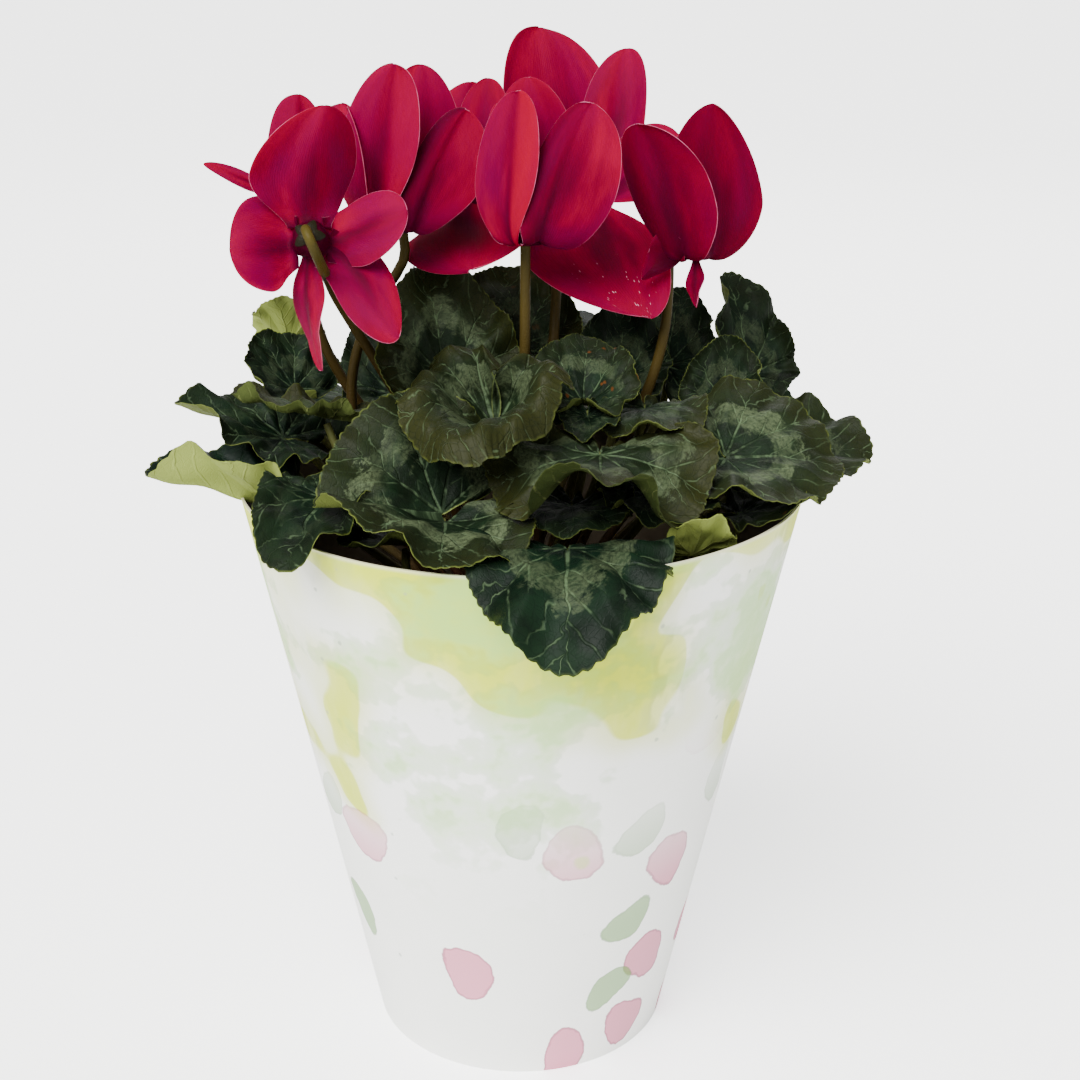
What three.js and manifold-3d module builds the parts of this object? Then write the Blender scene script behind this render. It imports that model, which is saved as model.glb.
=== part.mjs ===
// A florist's cyclamen in a plastic nursery pot, inside a printed card sleeve.
// Millimetres, +Z up. The origin is the middle of the pot's foot, on the surface it stands on.
import * as THREE from 'three';
import { mergeVertices } from 'three/addons/utils/BufferGeometryUtils.js';
import Module from 'manifold-3d';

const wasm = await Module();
wasm.setup();

// Driving dimensions

const GAP = 0.3; // clearance left between pieces that touch

// The card sleeve: a plain cone, open at both ends.
const SLEEVE_BASE_RADIUS = 50;
const SLEEVE_RIM_RADIUS = 90;
const SLEEVE_HEIGHT = 193;
const CARD_THICKNESS = 0.8;
const SLEEVE_SIDES = 52;

// The nursery pot, 14 cm across its lip.
const POT_HEIGHT = 120;
const POT_FOOT_RADIUS = 47.5;
const POT_FOOT_WIDTH = 8;
const POT_FOOT_HEIGHT = 3;
const POT_WALL = 1.6;
const POT_LIP_HEIGHT = 12;
const POT_LIP_RADIUS = 71.2;
const POT_SHOULDER_RADIUS = 68.6;
const POT_SIDES = 32;
const DRAIN_HOLES = 5;
const DRAIN_RADIUS = 5;
const DRAIN_RING = 26;

// The potting soil, and the tuber that sits half out of it.
const SOIL_LEVEL = 109;
const SOIL_LUMP = 1.6;
const SOIL_RINGS = 3;
const TUBER_RADIUS = 26;
const TUBER_HALF_HEIGHT = 13;
const TUBER_CENTRE = 108;
const TUBER_CROWN_RADIUS = 19;
const TUBER_SHARES = [0.36, 0.68, 0.9, 1]; // where its underside changes slope
const TUBER_SIDES = 24; // the soil's hollow under the tuber has as many

// Stems: each one stands in a socket in the tuber's crown.
const SOCKET_DEPTH = 4;
const SOCKET_CLEARANCE = 0.5;
const SOCKET_PITCH = 5.1;
const PETIOLE_FOOT = 1.7;
const PETIOLE_END = 1.25;
const STALK_FOOT = 1.9;
const STALK_END = 1.35;
const STEM_SIDES = 5;
const PETIOLE_SIDES = 4;
const STEM_STATIONS = [0, 0.25, 0.5, 0.75, 1];

// Leaf blades and petals.
const BLADE_THICKNESS = 0.8;
const LEAF_RAYS = 14;
const LEAF_RINGS = [0.58, 1];
const HANGING_RINGS = [0.3, 0.55, 0.78, 1]; // for a blade that hangs over the rim
const HANGING_BEND = 60;
const SINUS = 9; // half the angle of the notch behind the leaf stem
const LEAF_BACK = 0.6; // length of the back lobes over the length to the tip
const PETAL_THICKNESS = 0.8;
const PETAL_STEPS = 5;
const PETAL_STRIPS = 2;

// The corolla's short tube, and the crook that carries it.
const MOUTH_RADIUS = 5.2;
const TUBE_LENGTH = 8;
const CALYX_RADIUS = 7;
const CROOK_REACH = 9.5;
const CROOK_RISE = 20;

const CROWN_TOP = TUBER_CENTRE + TUBER_HALF_HEIGHT;
const DEG = Math.PI / 180;

// Leaves, by where they grow. `at` is where the stem meets the blade and `tip` the blade's point.
// `wide` is the half width over the length, and `back` the length of the lobes behind the stem
// over the length. Angles are in degrees: `roll` turns the blade about its midrib, `bend` curves
// the midrib down, `fold` and `cup` raise the left and right halves, and `funnel` raises the whole
// margin. `wave` is the margin's swing over the length, how many swings go round, and their phase.
// `lean` moves the stem's middle, where it has to pass another one.
const LEAVES = {
  leaf_front_left: { at: [-21.5, -54, 202.4], tip: [-56, -66, 206], wide: 1.02, roll: -30,
    bend: 5, fold: [28, 8], cup: [-10, 15], wave: [0.06, 4, 0], back: 0.62 },
  leaf_front_hanging: { at: [13, -71, 196], tip: [12, -112.2, 178], wide: 0.62, roll: 0,
    bend: 80, fold: [0, 0], cup: [0, 0], wave: [0.03, 3, 40], back: 0.5 },
  leaf_front_middle: { at: [23, -43.5, 215], tip: [22, -79, 208.5], wide: 0.95, roll: 0,
    bend: 20, fold: [0, 0], cup: [-10, -10], wave: [0.4, 3.3, 90], back: 0.3 },
  leaf_front_inner: { at: [38, -16, 221], tip: [42, -40, 219], wide: 0.75, roll: 0,
    bend: 20, fold: [0, 0], cup: [-10, -40], wave: [0.15, 4, 90], back: 0.35 },
  leaf_front_right: { at: [62, -29, 211.5], tip: [95, -28, 204], wide: 0.92, roll: 26,
    bend: 25, fold: [0, 16], cup: [0, -10], wave: [0.05, 4, 90], back: 0.35 },
  leaf_right_rim: { at: [66, -34, 193], tip: [84, -46, 198], wide: 0.5, roll: 10,
    bend: 10, fold: [0, 0], cup: [0, 0], wave: [0.05, 4, 90] },
  leaf_right_curled: { at: [50, -52, 187], tip: [53, -68, 201], wide: 0.6, roll: 0,
    bend: 10, fold: [0, 0], cup: [0, 0], wave: [0.05, 4, 90] },
  leaf_right: { at: [76, 0, 200], tip: [110, -1, 203], wide: 0.85, roll: 15,
    bend: 25, fold: [0, 0], cup: [0, 0], wave: [0.06, 4, 0], back: 0.45 },
  leaf_right_tall: { at: [76, 28, 218], tip: [70, 38, 249], wide: 0.5, roll: 0,
    bend: 10, fold: [0, 0], cup: [20, 20], wave: [0.04, 4, 0], back: 0.35, lean: [0, -6, 0] },
  leaf_right_inner: { at: [64, 4, 216], tip: [66, 14, 234], wide: 0.68, roll: 0,
    bend: -10, fold: [0, 0], cup: [30, 30], wave: [0.05, 4, 0], back: 0.4 },
  leaf_right_dark: { at: [47.5, 28, 222], tip: [52.5, 44, 242], wide: 0.65, roll: 0,
    bend: 0, fold: [0, 0], cup: [20, 20], wave: [0.05, 4, 0], back: 0.6 },
  leaf_middle_funnel: { at: [-10, -31, 232], tip: [-21, -59, 218], wide: 0.72, roll: 0,
    bend: 10, fold: [0, 0], cup: [0, 0], funnel: 20, wave: [0.08, 5, 0], lean: [-3, -3, 0] },
  leaf_middle_cupped: { at: [19, -18, 226], tip: [20, 2, 236], wide: 0.8, roll: 0,
    bend: 0, fold: [0, 0], cup: [20, 20], funnel: 10, wave: [0.05, 4, 0], lean: [0, 8, 0] },
  leaf_middle_low: { at: [20, -24, 221], tip: [21, -40, 218], wide: 0.6, roll: 0,
    bend: 0, fold: [0, 0], cup: [10, 10], wave: [0.08, 5, 0], back: 0.4, lean: [3, -8, 0] },
  leaf_middle_dark: { at: [32, 14, 222], tip: [33, 34, 238], wide: 0.65, roll: 0,
    bend: 0, fold: [0, 0], cup: [20, 20], funnel: 10, wave: [0.05, 4, 0], back: 0.4 },
  leaf_middle_tall: { at: [-22, -7, 226], tip: [-30, 11, 256], wide: 0.68, roll: 0,
    bend: 10, fold: [0, 0], cup: [10, 10], wave: [0.05, 4, 0], back: 0.45 },
  leaf_behind_middle: { at: [-2, 28, 228], tip: [-5, 48, 249], wide: 0.8, roll: 0,
    bend: 10, fold: [0, 0], cup: [20, 20], wave: [0.05, 4, 0], back: 0.35 },
  leaf_left_rim: { at: [-34, -46, 188], tip: [-45, -66, 194], wide: 0.8, roll: 0,
    bend: 0, fold: [0, 0], cup: [10, 10], wave: [0.08, 5, 0], lean: [-6, 0, 0] },
  leaf_front_rim: { at: [40, -38, 201], tip: [48, -62, 199], wide: 0.72, roll: 0,
    bend: 0, fold: [0, 0], cup: [10, 10], wave: [0.08, 5, 0] },
  leaf_front_deep: { at: [15, -42, 198.6], tip: [15, -67, 197], wide: 0.74, roll: 0,
    bend: 20, fold: [0, 0], cup: [5, 5], wave: [0.06, 4, 0], back: 0.4, lean: [-3, 0, 0] },
  leaf_left_low: { at: [-58, -42, 201], tip: [-66, -78, 194], wide: 0.5, roll: 0,
    bend: 20, fold: [10, 10], cup: [10, 10], wave: [0.05, 4, 0], back: 0.35, lean: [0, -6, 0] },
  leaf_left: { at: [-74, -17, 187], tip: [-109.6, -28, 205], wide: 0.6, roll: 0,
    bend: 0, fold: [30, 22], cup: [10, 10], wave: [0.05, 4, 0], back: 0.25 },
  leaf_left_upper: { at: [-76, 6, 204], tip: [-107, 0, 216], wide: 0.55, roll: 0,
    bend: 0, fold: [-10, 22], cup: [10, 10], wave: [0.05, 4, 0], back: 0.4, lean: [0, 10, 0] },
  leaf_left_edge: { at: [-60, -9, 216], tip: [-88, -8, 221], wide: 0.6, roll: 14,
    bend: 0, fold: [0, 0], cup: [10, 10], wave: [0.05, 4, 0], back: 0.3, lean: [0, -6, 0] },
  leaf_left_upright: { at: [-74, 24, 215], tip: [-86, 32, 230], wide: 1.0, roll: 0,
    bend: 0, fold: [0, 0], cup: [20, 20], wave: [0.05, 4, 0], back: 0.35, lean: [2, 2, 0] },
  leaf_left_small: { at: [-79, 48, 224], tip: [-80, 36, 242], wide: 0.6, roll: 0,
    bend: 0, fold: [0, 0], cup: [20, 20], wave: [0.05, 4, 0], lean: [0, 6, 0] },
  leaf_left_dark: { at: [-43, 30, 212], tip: [-49, 54, 231], wide: 0.55, roll: 0,
    bend: 0, fold: [0, 0], cup: [20, 20], wave: [0.05, 4, 0], back: 0.4 },
  leaf_back_right: { at: [69, 47, 199], tip: [94, 58, 200], wide: 0.7, roll: 0,
    bend: 20, fold: [0, 0], cup: [5, 5], wave: [0.08, 4, 0], back: 0.3 },
  leaf_back_right_low: { at: [26, 70, 200], tip: [34, 104, 196], wide: 0.7, roll: 0,
    bend: 30, fold: [0, 0], cup: [5, 5], wave: [0.08, 4, 0] },
  leaf_back: { at: [-10, 70, 206], tip: [-12, 111.8, 202], wide: 0.8, roll: 0,
    bend: 20, fold: [0, 0], cup: [5, 5], wave: [0.08, 4, 0] },
  leaf_back_left: { at: [-52, 62, 200], tip: [-70, 90, 197], wide: 0.8, roll: 0,
    bend: 20, fold: [0, 0], cup: [5, 5], wave: [0.08, 4, 0] },
  leaf_back_high: { at: [26, 46, 222], tip: [34, 76, 224], wide: 0.8, roll: 0,
    bend: 20, fold: [0, 0], cup: [5, 5], wave: [0.08, 4, 0] },
};

// Blooms. `mouth` is the middle of the corolla's mouth, and `tilt` is how far the axis from the
// mouth to the calyx leans off the vertical, and toward which azimuth. `stalk` is the azimuth of
// the side that the stalk comes up. Each petal is its azimuth, its angle off the axis, its length,
// its half width, how far it turns about its own length, and how far it curls outward.
const BLOOMS = {
  left: { mouth: [-61, -27, 273], tilt: [65, -90], stalk: -67, lean: [0, -12, 0], petals: [
    [90, 64, 35, 16, 0, 0], [182, 72, 18, 12, 0, 0], [262, 84, 38, 7.5, 88, 0],
    [-25, 72, 34, 10, 0, 0], [8, 80, 24, 8, 0, 0]] },
  left_behind: { mouth: [-68, 22, 279], tilt: [20, 60], stalk: -45, lean: [-10, 14, 0], petals: [
    [120, 26, 35, 9, 0, 0], [70, 18, 32, 11, 0, 0], [175, 85, 30, 5, 85, 0],
    [-102, 30, 22, 8, 0, 0], [12, 30, 22, 8, 0, 0]] },
  left_tall: { mouth: [-37, 0, 271], tilt: [6, 90], stalk: 90, lean: [-36, 0, 0], petals: [
    [-100, 14, 50, 17, 0, 0], [-40, 33, 41, 13, -20, 0], [28, 20, 36, 11, 0, 0],
    [152, 15, 38, 11, 0, 0], [200, 18, 38, 11, 0, 0]] },
  behind: { mouth: [-16, 33, 273], tilt: [10, 90], stalk: -153, lean: [-6, 0, 0], petals: [
    [125, 14, 40, 12, 0, 0], [78, 8, 40, 10, 0, 0], [-100, 122, 36, 16, 0, 0],
    [10, 24, 20, 9, 0, 0], [155, 30, 28, 8, 0, 0]] },
  centre: { mouth: [1, -14, 270], tilt: [6, 90], stalk: 90, petals: [
    [-98, 14, 49, 15, 0, 0], [-44, 28, 46, 17, -15, 0], [28, 20, 38, 11, 0, 0],
    [152, 15, 40, 11, 0, 0], [200, 18, 38, 11, 0, 0]] },
  top: { mouth: [21, 34, 276], tilt: [10, 90], stalk: 178, petals: [
    [118, 26, 60, 20, 0, 0], [52, 21, 50, 12, 0, 0], [-10, 55, 26, 13, 80, 0],
    [-85, 138, 55, 16, 0, 0], [-138, 40, 30, 9, 0, 0]] },
  right: { mouth: [53, 0, 263], tilt: [6, 90], stalk: 140, petals: [
    [-130, 30, 46, 14, 0, 0], [-50, 14, 47, 17, 0, 0], [70, 14, 36, 11, 0, 0],
    [-150, 80, 13, 9, 80, 0], [-90, 155, 19, 4, 70, 0]] },
};

// Solids

/** A geometry as a solid that can be joined and cut. */
function toSolid(geometry) {
  const bare = new THREE.BufferGeometry();
  bare.setAttribute('position', geometry.attributes.position);
  bare.setIndex(geometry.index);
  const merged = mergeVertices(bare, 1e-4);
  return new wasm.Manifold(new wasm.Mesh({
    numProp: 3,
    vertProperties: new Float32Array(merged.attributes.position.array),
    triVerts: new Uint32Array(merged.index.array),
  }));
}

/** A joined or cut solid as a geometry. */
function toGeometry(solid) {
  const { numProp, vertProperties, triVerts } = solid.getMesh();
  const geometry = new THREE.BufferGeometry();
  const positions = [];
  for (let i = 0; i < vertProperties.length; i += numProp) {
    positions.push(...vertProperties.subarray(i, i + 3));
  }
  geometry.setAttribute('position', new THREE.Float32BufferAttribute(positions, 3));
  geometry.setIndex([...triVerts]);
  return geometry;
}

/** Several geometries joined into one. */
function fuse(geometries) {
  return toGeometry(geometries.map(toSolid).reduce((whole, piece) => whole.add(piece)));
}

/** A solid of revolution from [radius, height] pairs that start and end on the axis or close. */
function lathe(profile, sides) {
  return new THREE.LatheGeometry(profile.map(([r, z]) => new THREE.Vector2(r, z)), sides)
    .rotateX(Math.PI / 2);
}

/** A surface of points and triangles, thickened along its normals into a closed solid. */
function thicken(points, faces, thickness) {
  const surface = new THREE.BufferGeometry().setFromPoints(points);
  surface.setIndex(faces.flat());
  surface.computeVertexNormals();
  const shifted = (distance) => points.map((point, i) => new THREE.Vector3()
    .fromBufferAttribute(surface.attributes.normal, i)
    .multiplyScalar(distance)
    .add(point));
  const count = points.length;
  const edges = new Set(faces.flatMap(([a, b, c]) => [`${a} ${b}`, `${b} ${c}`, `${c} ${a}`]));
  const walls = [];
  for (const edge of edges) {
    const [a, b] = edge.split(' ').map(Number);
    if (edges.has(`${b} ${a}`)) continue;
    walls.push([b, a, a + count], [b, a + count, b + count]);
  }
  const under = faces.map(([a, b, c]) => [a + count, c + count, b + count]);
  const solid = new THREE.BufferGeometry()
    .setFromPoints([...shifted(thickness / 2), ...shifted(-thickness / 2)]);
  solid.setIndex([...faces, ...under, ...walls].flat());
  return solid;
}

/** A round stem through the given points, tapering evenly from one radius to the other. */
function taperedTube(points, startRadius, endRadius, sides) {
  const last = points.length - 1;
  const tangentAt = (i) => points[Math.min(i + 1, last)].clone()
    .sub(points[Math.max(i - 1, 0)]).normalize();
  const side = new THREE.Vector3(1, 0, 0);
  const vertices = [];
  points.forEach((point, i) => {
    const tangent = tangentAt(i);
    side.addScaledVector(tangent, -side.dot(tangent)).normalize();
    const across = new THREE.Vector3().crossVectors(tangent, side);
    const radius = THREE.MathUtils.lerp(startRadius, endRadius, i / last);
    for (let k = 0; k < sides; k++) {
      const angle = (2 * Math.PI * k) / sides;
      vertices.push(point.clone()
        .addScaledVector(side, radius * Math.cos(angle))
        .addScaledVector(across, radius * Math.sin(angle)));
    }
  });
  const faces = [];
  for (let i = 0; i < last; i++) {
    for (let k = 0; k < sides; k++) {
      const a = i * sides + k;
      const b = i * sides + ((k + 1) % sides);
      faces.push([a, b, b + sides], [a, b + sides, a + sides]);
    }
  }
  for (let k = 1; k < sides - 1; k++) {
    faces.push([0, k + 1, k]);
    faces.push([last * sides, last * sides + k, last * sides + k + 1]);
  }
  const tube = new THREE.BufferGeometry().setFromPoints(vertices);
  tube.setIndex(faces.flat());
  return tube;
}

// Sleeve, pot, soil and tuber

/** The sleeve's inner radius at a height. */
function sleeveInside(z) {
  const slope = (SLEEVE_RIM_RADIUS - SLEEVE_BASE_RADIUS) / SLEEVE_HEIGHT;
  return SLEEVE_BASE_RADIUS + slope * z - CARD_THICKNESS;
}

function sleeveGeometry() {
  return lathe([
    [SLEEVE_BASE_RADIUS - CARD_THICKNESS, 0],
    [SLEEVE_BASE_RADIUS, 0],
    [SLEEVE_RIM_RADIUS, SLEEVE_HEIGHT],
    [SLEEVE_RIM_RADIUS - CARD_THICKNESS, SLEEVE_HEIGHT],
    [SLEEVE_BASE_RADIUS - CARD_THICKNESS, 0],
  ], SLEEVE_SIDES);
}

/** The pot: a foot ring, a raised floor with drain holes, a tapered wall and a wide lip. */
function potGeometry() {
  const shoulder = POT_HEIGHT - POT_LIP_HEIGHT;
  const floor = POT_FOOT_HEIGHT + POT_WALL;
  const shell = toSolid(lathe([
    [0, POT_FOOT_HEIGHT],
    [POT_FOOT_RADIUS - POT_FOOT_WIDTH, POT_FOOT_HEIGHT],
    [POT_FOOT_RADIUS - POT_FOOT_WIDTH, 0],
    [POT_FOOT_RADIUS, 0],
    [POT_SHOULDER_RADIUS, shoulder],
    [POT_LIP_RADIUS, shoulder],
    [POT_LIP_RADIUS, POT_HEIGHT],
    [POT_LIP_RADIUS - POT_WALL, POT_HEIGHT],
    [POT_SHOULDER_RADIUS - POT_WALL, shoulder - POT_WALL],
    [POT_FOOT_RADIUS - POT_WALL, floor],
    [0, floor],
  ], POT_SIDES));
  let drained = shell;
  for (let i = 0; i < DRAIN_HOLES; i++) {
    const angle = (2 * Math.PI * i) / DRAIN_HOLES;
    const hole = new THREE.CylinderGeometry(DRAIN_RADIUS, DRAIN_RADIUS, 3 * POT_WALL, 10)
      .rotateX(Math.PI / 2)
      .translate(DRAIN_RING * Math.cos(angle), DRAIN_RING * Math.sin(angle), floor);
    drained = drained.subtract(toSolid(hole));
  }
  return toGeometry(drained);
}

/** The pot's inner radius at a height, below its lip. */
function potInside(z) {
  const shoulder = POT_HEIGHT - POT_LIP_HEIGHT;
  const floor = POT_FOOT_HEIGHT + POT_WALL;
  const share = (z - floor) / (shoulder - POT_WALL - floor);
  return THREE.MathUtils.lerp(POT_FOOT_RADIUS, POT_SHOULDER_RADIUS, share) - POT_WALL;
}

/** The height of the tuber's underside at a share of its radius, as a half ellipse. */
function tuberUnderside(share) {
  return TUBER_CENTRE - TUBER_HALF_HEIGHT * Math.sqrt(1 - share * share);
}

/** The height of the soil's lumpy surface. */
function soilHeight(radius, angle) {
  const lumps = Math.sin(3 * angle + 1) * Math.cos(0.21 * radius)
    + 0.6 * Math.sin(7 * angle + 0.13 * radius);
  return SOIL_LEVEL + 0.6 * SOIL_LUMP * lumps;
}

/** The soil: it fills the pot, and is hollowed under the tuber. */
function soilGeometry() {
  const floor = POT_FOOT_HEIGHT + POT_WALL + GAP;
  const rim = potInside(SOIL_LEVEL - 4 * SOIL_LUMP) - GAP;
  const rings = TUBER_SHARES.map((share) => () => [
    share * TUBER_RADIUS + GAP,
    tuberUnderside(share) - GAP,
  ]);
  for (let i = 0; i <= SOIL_RINGS; i++) {
    const radius = THREE.MathUtils.lerp(TUBER_RADIUS + 1, rim, i / SOIL_RINGS);
    rings.push((angle) => [radius, soilHeight(radius, angle)]);
  }
  rings.push(() => [potInside(floor) - GAP, floor]);
  return ringSolid(rings, TUBER_SIDES, tuberUnderside(0) - GAP, floor);
}

/** A solid from rings of points round the axis, closed by a point above and one below. */
function ringSolid(rings, sides, topHeight, bottomHeight) {
  const points = [new THREE.Vector3(0, 0, topHeight), new THREE.Vector3(0, 0, bottomHeight)];
  for (const ring of rings) {
    for (let k = 0; k < sides; k++) {
      const angle = (2 * Math.PI * k) / sides;
      const [radius, height] = ring(angle);
      points.push(new THREE.Vector3(radius * Math.cos(angle), radius * Math.sin(angle), height));
    }
  }
  const faces = [];
  for (let k = 0; k < sides; k++) {
    const next = (k + 1) % sides;
    const outer = 2 + (rings.length - 1) * sides;
    faces.push([0, 2 + k, 2 + next], [1, outer + next, outer + k]);
    for (let i = 0; i < rings.length - 1; i++) {
      const a = 2 + i * sides;
      const b = a + sides;
      faces.push([a + k, b + k, b + next], [a + k, b + next, a + next]);
    }
  }
  const solid = new THREE.BufferGeometry().setFromPoints(points);
  solid.setIndex(faces.flat());
  return solid;
}

/** The tuber: a flattened ball with a level crown, pitted by the sockets of its stems. */
function tuberGeometry(feet) {
  const profile = [[0, TUBER_CENTRE - TUBER_HALF_HEIGHT]];
  for (const share of TUBER_SHARES) {
    profile.push([share * TUBER_RADIUS, tuberUnderside(share)]);
  }
  profile.push([0.93 * TUBER_RADIUS, TUBER_CENTRE + 0.6 * TUBER_HALF_HEIGHT]);
  profile.push([TUBER_CROWN_RADIUS, CROWN_TOP], [0, CROWN_TOP]);
  let tuber = toSolid(lathe(profile, TUBER_SIDES));
  const socketRadius = STALK_FOOT + SOCKET_CLEARANCE;
  for (const foot of feet) {
    const socket = new THREE.CylinderGeometry(socketRadius, socketRadius, 2 * SOCKET_DEPTH, 6)
      .rotateX(Math.PI / 2)
      .translate(foot.x, foot.y, CROWN_TOP);
    tuber = tuber.subtract(toSolid(socket));
  }
  return toGeometry(tuber);
}

// Where the stems stand

/** Sorts targets into rings on the crown, steepest in the middle, each near its own azimuth. */
function crownFeet(targets) {
  const lean = ({ x, y, z }) => Math.hypot(x, y) / (z - CROWN_TOP);
  const order = [...targets.keys()].sort((a, b) => lean(targets[a]) - lean(targets[b]));
  const azimuth = (i) => Math.atan2(targets[i].y, targets[i].x);
  const feet = [];
  for (let ring = 0; order.length > 0; ring++) {
    const group = order.splice(0, Math.max(1, 6 * ring)).sort((a, b) => azimuth(a) - azimuth(b));
    const step = (2 * Math.PI) / group.length;
    const offsets = group.map((target, i) => azimuth(target) - i * step);
    const turn = Math.atan2(
      offsets.reduce((sum, angle) => sum + Math.sin(angle), 0),
      offsets.reduce((sum, angle) => sum + Math.cos(angle), 0),
    );
    group.forEach((target, i) => {
      const angle = turn + i * step;
      feet[target] = new THREE.Vector3(Math.cos(angle), Math.sin(angle), 0)
        .multiplyScalar(ring * SOCKET_PITCH)
        .setZ(CROWN_TOP - SOCKET_DEPTH + GAP);
    });
  }
  return feet;
}

/** Points of a stem that stands in its socket and sweeps over to end along a direction. */
function stemPoints(foot, end, arrival, lean = [0, 0, 0]) {
  const mouth = foot.clone().setZ(CROWN_TOP + 1);
  const rise = (end.z - mouth.z) * 0.5;
  const sweep = new THREE.CubicBezierCurve3(
    mouth,
    mouth.clone().add(new THREE.Vector3(lean[0], lean[1], rise + lean[2])),
    end.clone().addScaledVector(arrival, -0.35 * end.distanceTo(mouth))
      .add(new THREE.Vector3(...lean)),
    end,
  );
  return [foot, ...STEM_STATIONS.map((t) => sweep.getPoint(t))];
}

// Leaves

/** The length of the blade toward an angle from its midrib, over the length to the tip. */
function leafOutline(angle, wide, back) {
  const along = Math.cos(angle) / (Math.cos(angle) < 0 ? back : 1);
  const across = Math.sin(angle) / wide;
  const oval = 1 / Math.hypot(along, across);
  const point = 1 + 0.07 * Math.exp(-((angle / 0.25) ** 2));
  const notch = 1 - 0.75 * Math.exp(-(((Math.PI - Math.abs(angle)) / 0.35) ** 2));
  return oval * point * notch;
}

/** An arc that starts at one slope and steepens by another over a length of one. */
function arc(distance, slope, gain) {
  const turned = slope + gain * distance;
  if (Math.abs(gain) < 1e-6) {
    return [distance * Math.cos(slope), distance * Math.sin(slope), turned];
  }
  const out = (Math.sin(turned) - Math.sin(slope)) / gain;
  const up = (Math.cos(slope) - Math.cos(turned)) / gain;
  return [out, up, turned];
}

/** A blade's own axes: along the midrib, to its left, and out of its upper face. */
function leafFrame({ at, tip, roll }) {
  const origin = new THREE.Vector3(...at);
  const chord = new THREE.Vector3(...tip).sub(origin);
  const along = chord.clone().normalize();
  const left = new THREE.Vector3(0, 0, 1).cross(along).normalize();
  left.applyAxisAngle(along, roll * DEG);
  const up = new THREE.Vector3().crossVectors(along, left);
  return { origin, along, left, up, chord: chord.length() };
}

/** A point of the blade's middle surface, by its angle from the midrib and its share of the way out. */
function leafPoint(leaf, frame, angle, share) {
  const { wide, back = LEAF_BACK, bend, fold, cup, funnel = 0, wave } = leaf;
  const half = (bend * DEG) / 2;
  const length = Math.abs(half) < 1e-6 ? frame.chord : (frame.chord * half) / Math.sin(half);
  const reach = leafOutline(angle, wide, back) * length;
  const [spread, raised] = arc(share, 0, funnel * DEG);
  const fade = share * share * Math.cos(angle / 2) ** 2;
  const swing = wave[0] * length * fade * Math.sin(wave[1] * angle + wave[2] * DEG);
  const side = angle < 0 ? 1 : 0;
  const across = Math.abs(Math.sin(angle)) * spread * reach;
  const gain = (cup[side] * DEG) / (wide * length);
  const [out, up, turned] = arc(across, fold[side] * DEG, gain);
  const lift = raised * reach + swing;
  const sideways = (out - lift * Math.sin(turned)) * (side ? -1 : 1);
  const height = up + lift * Math.cos(turned);
  const forward = Math.cos(angle) * spread * reach;
  const [run, drop, slope] = arc(forward, -half, (2 * half) / length);
  return frame.origin.clone()
    .addScaledVector(frame.along, run + height * Math.sin(slope))
    .addScaledVector(frame.up, height * Math.cos(slope) - drop)
    .addScaledVector(frame.left, sideways);
}

/** A leaf: its thin waved blade, notched behind the stem, and the stem down to the crown. */
function leafGeometry(leaf, foot) {
  const frame = leafFrame(leaf);
  const points = [leafPoint(leaf, frame, 0, 0)];
  const ringShares = leaf.bend > HANGING_BEND ? HANGING_RINGS : LEAF_RINGS;
  const rings = ringShares.length;
  const limit = Math.PI - SINUS * DEG;
  for (let i = 0; i <= LEAF_RAYS; i++) {
    const angle = THREE.MathUtils.lerp(-limit, limit, i / LEAF_RAYS);
    ringShares.forEach((share) => points.push(leafPoint(leaf, frame, angle, share)));
  }
  const faces = [];
  for (let i = 0; i < LEAF_RAYS; i++) {
    const a = 1 + i * rings;
    const b = a + rings;
    faces.push([0, a, b]);
    for (let j = 0; j < rings - 1; j++) {
      faces.push([a + j, a + j + 1, b + j + 1], [a + j, b + j + 1, b + j]);
    }
  }
  const blade = thicken(points, faces, BLADE_THICKNESS);
  const arrival = frame.up.clone().multiplyScalar(0.85).addScaledVector(frame.along, 0.5);
  const stem = taperedTube(
    stemPoints(foot, frame.origin, arrival.normalize(), leaf.lean),
    PETIOLE_FOOT,
    PETIOLE_END,
    PETIOLE_SIDES,
  );
  return fuse([blade, stem]);
}

// Blooms

/** A bloom's own axes: its mouth at the origin and its calyx up +Z. */
function bloomFrame({ mouth, tilt }) {
  const [lean, azimuth] = tilt.map((angle) => angle * DEG);
  const axis = new THREE.Vector3(
    Math.sin(lean) * Math.cos(azimuth),
    Math.sin(lean) * Math.sin(azimuth),
    Math.cos(lean),
  );
  const turn = new THREE.Quaternion().setFromUnitVectors(new THREE.Vector3(0, 0, 1), axis);
  return new THREE.Matrix4().compose(
    new THREE.Vector3(...mouth), turn, new THREE.Vector3(1, 1, 1));
}

/** The width of a petal along its length, over its full width. */
function petalWidth(share) {
  const opening = 0.26 + 0.74 * THREE.MathUtils.smoothstep(share, 0, 0.5);
  const closing = share < 0.5 ? 1 : Math.sqrt(1 - ((share - 0.5) / 0.515) ** 2.6);
  return opening * closing;
}

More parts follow.
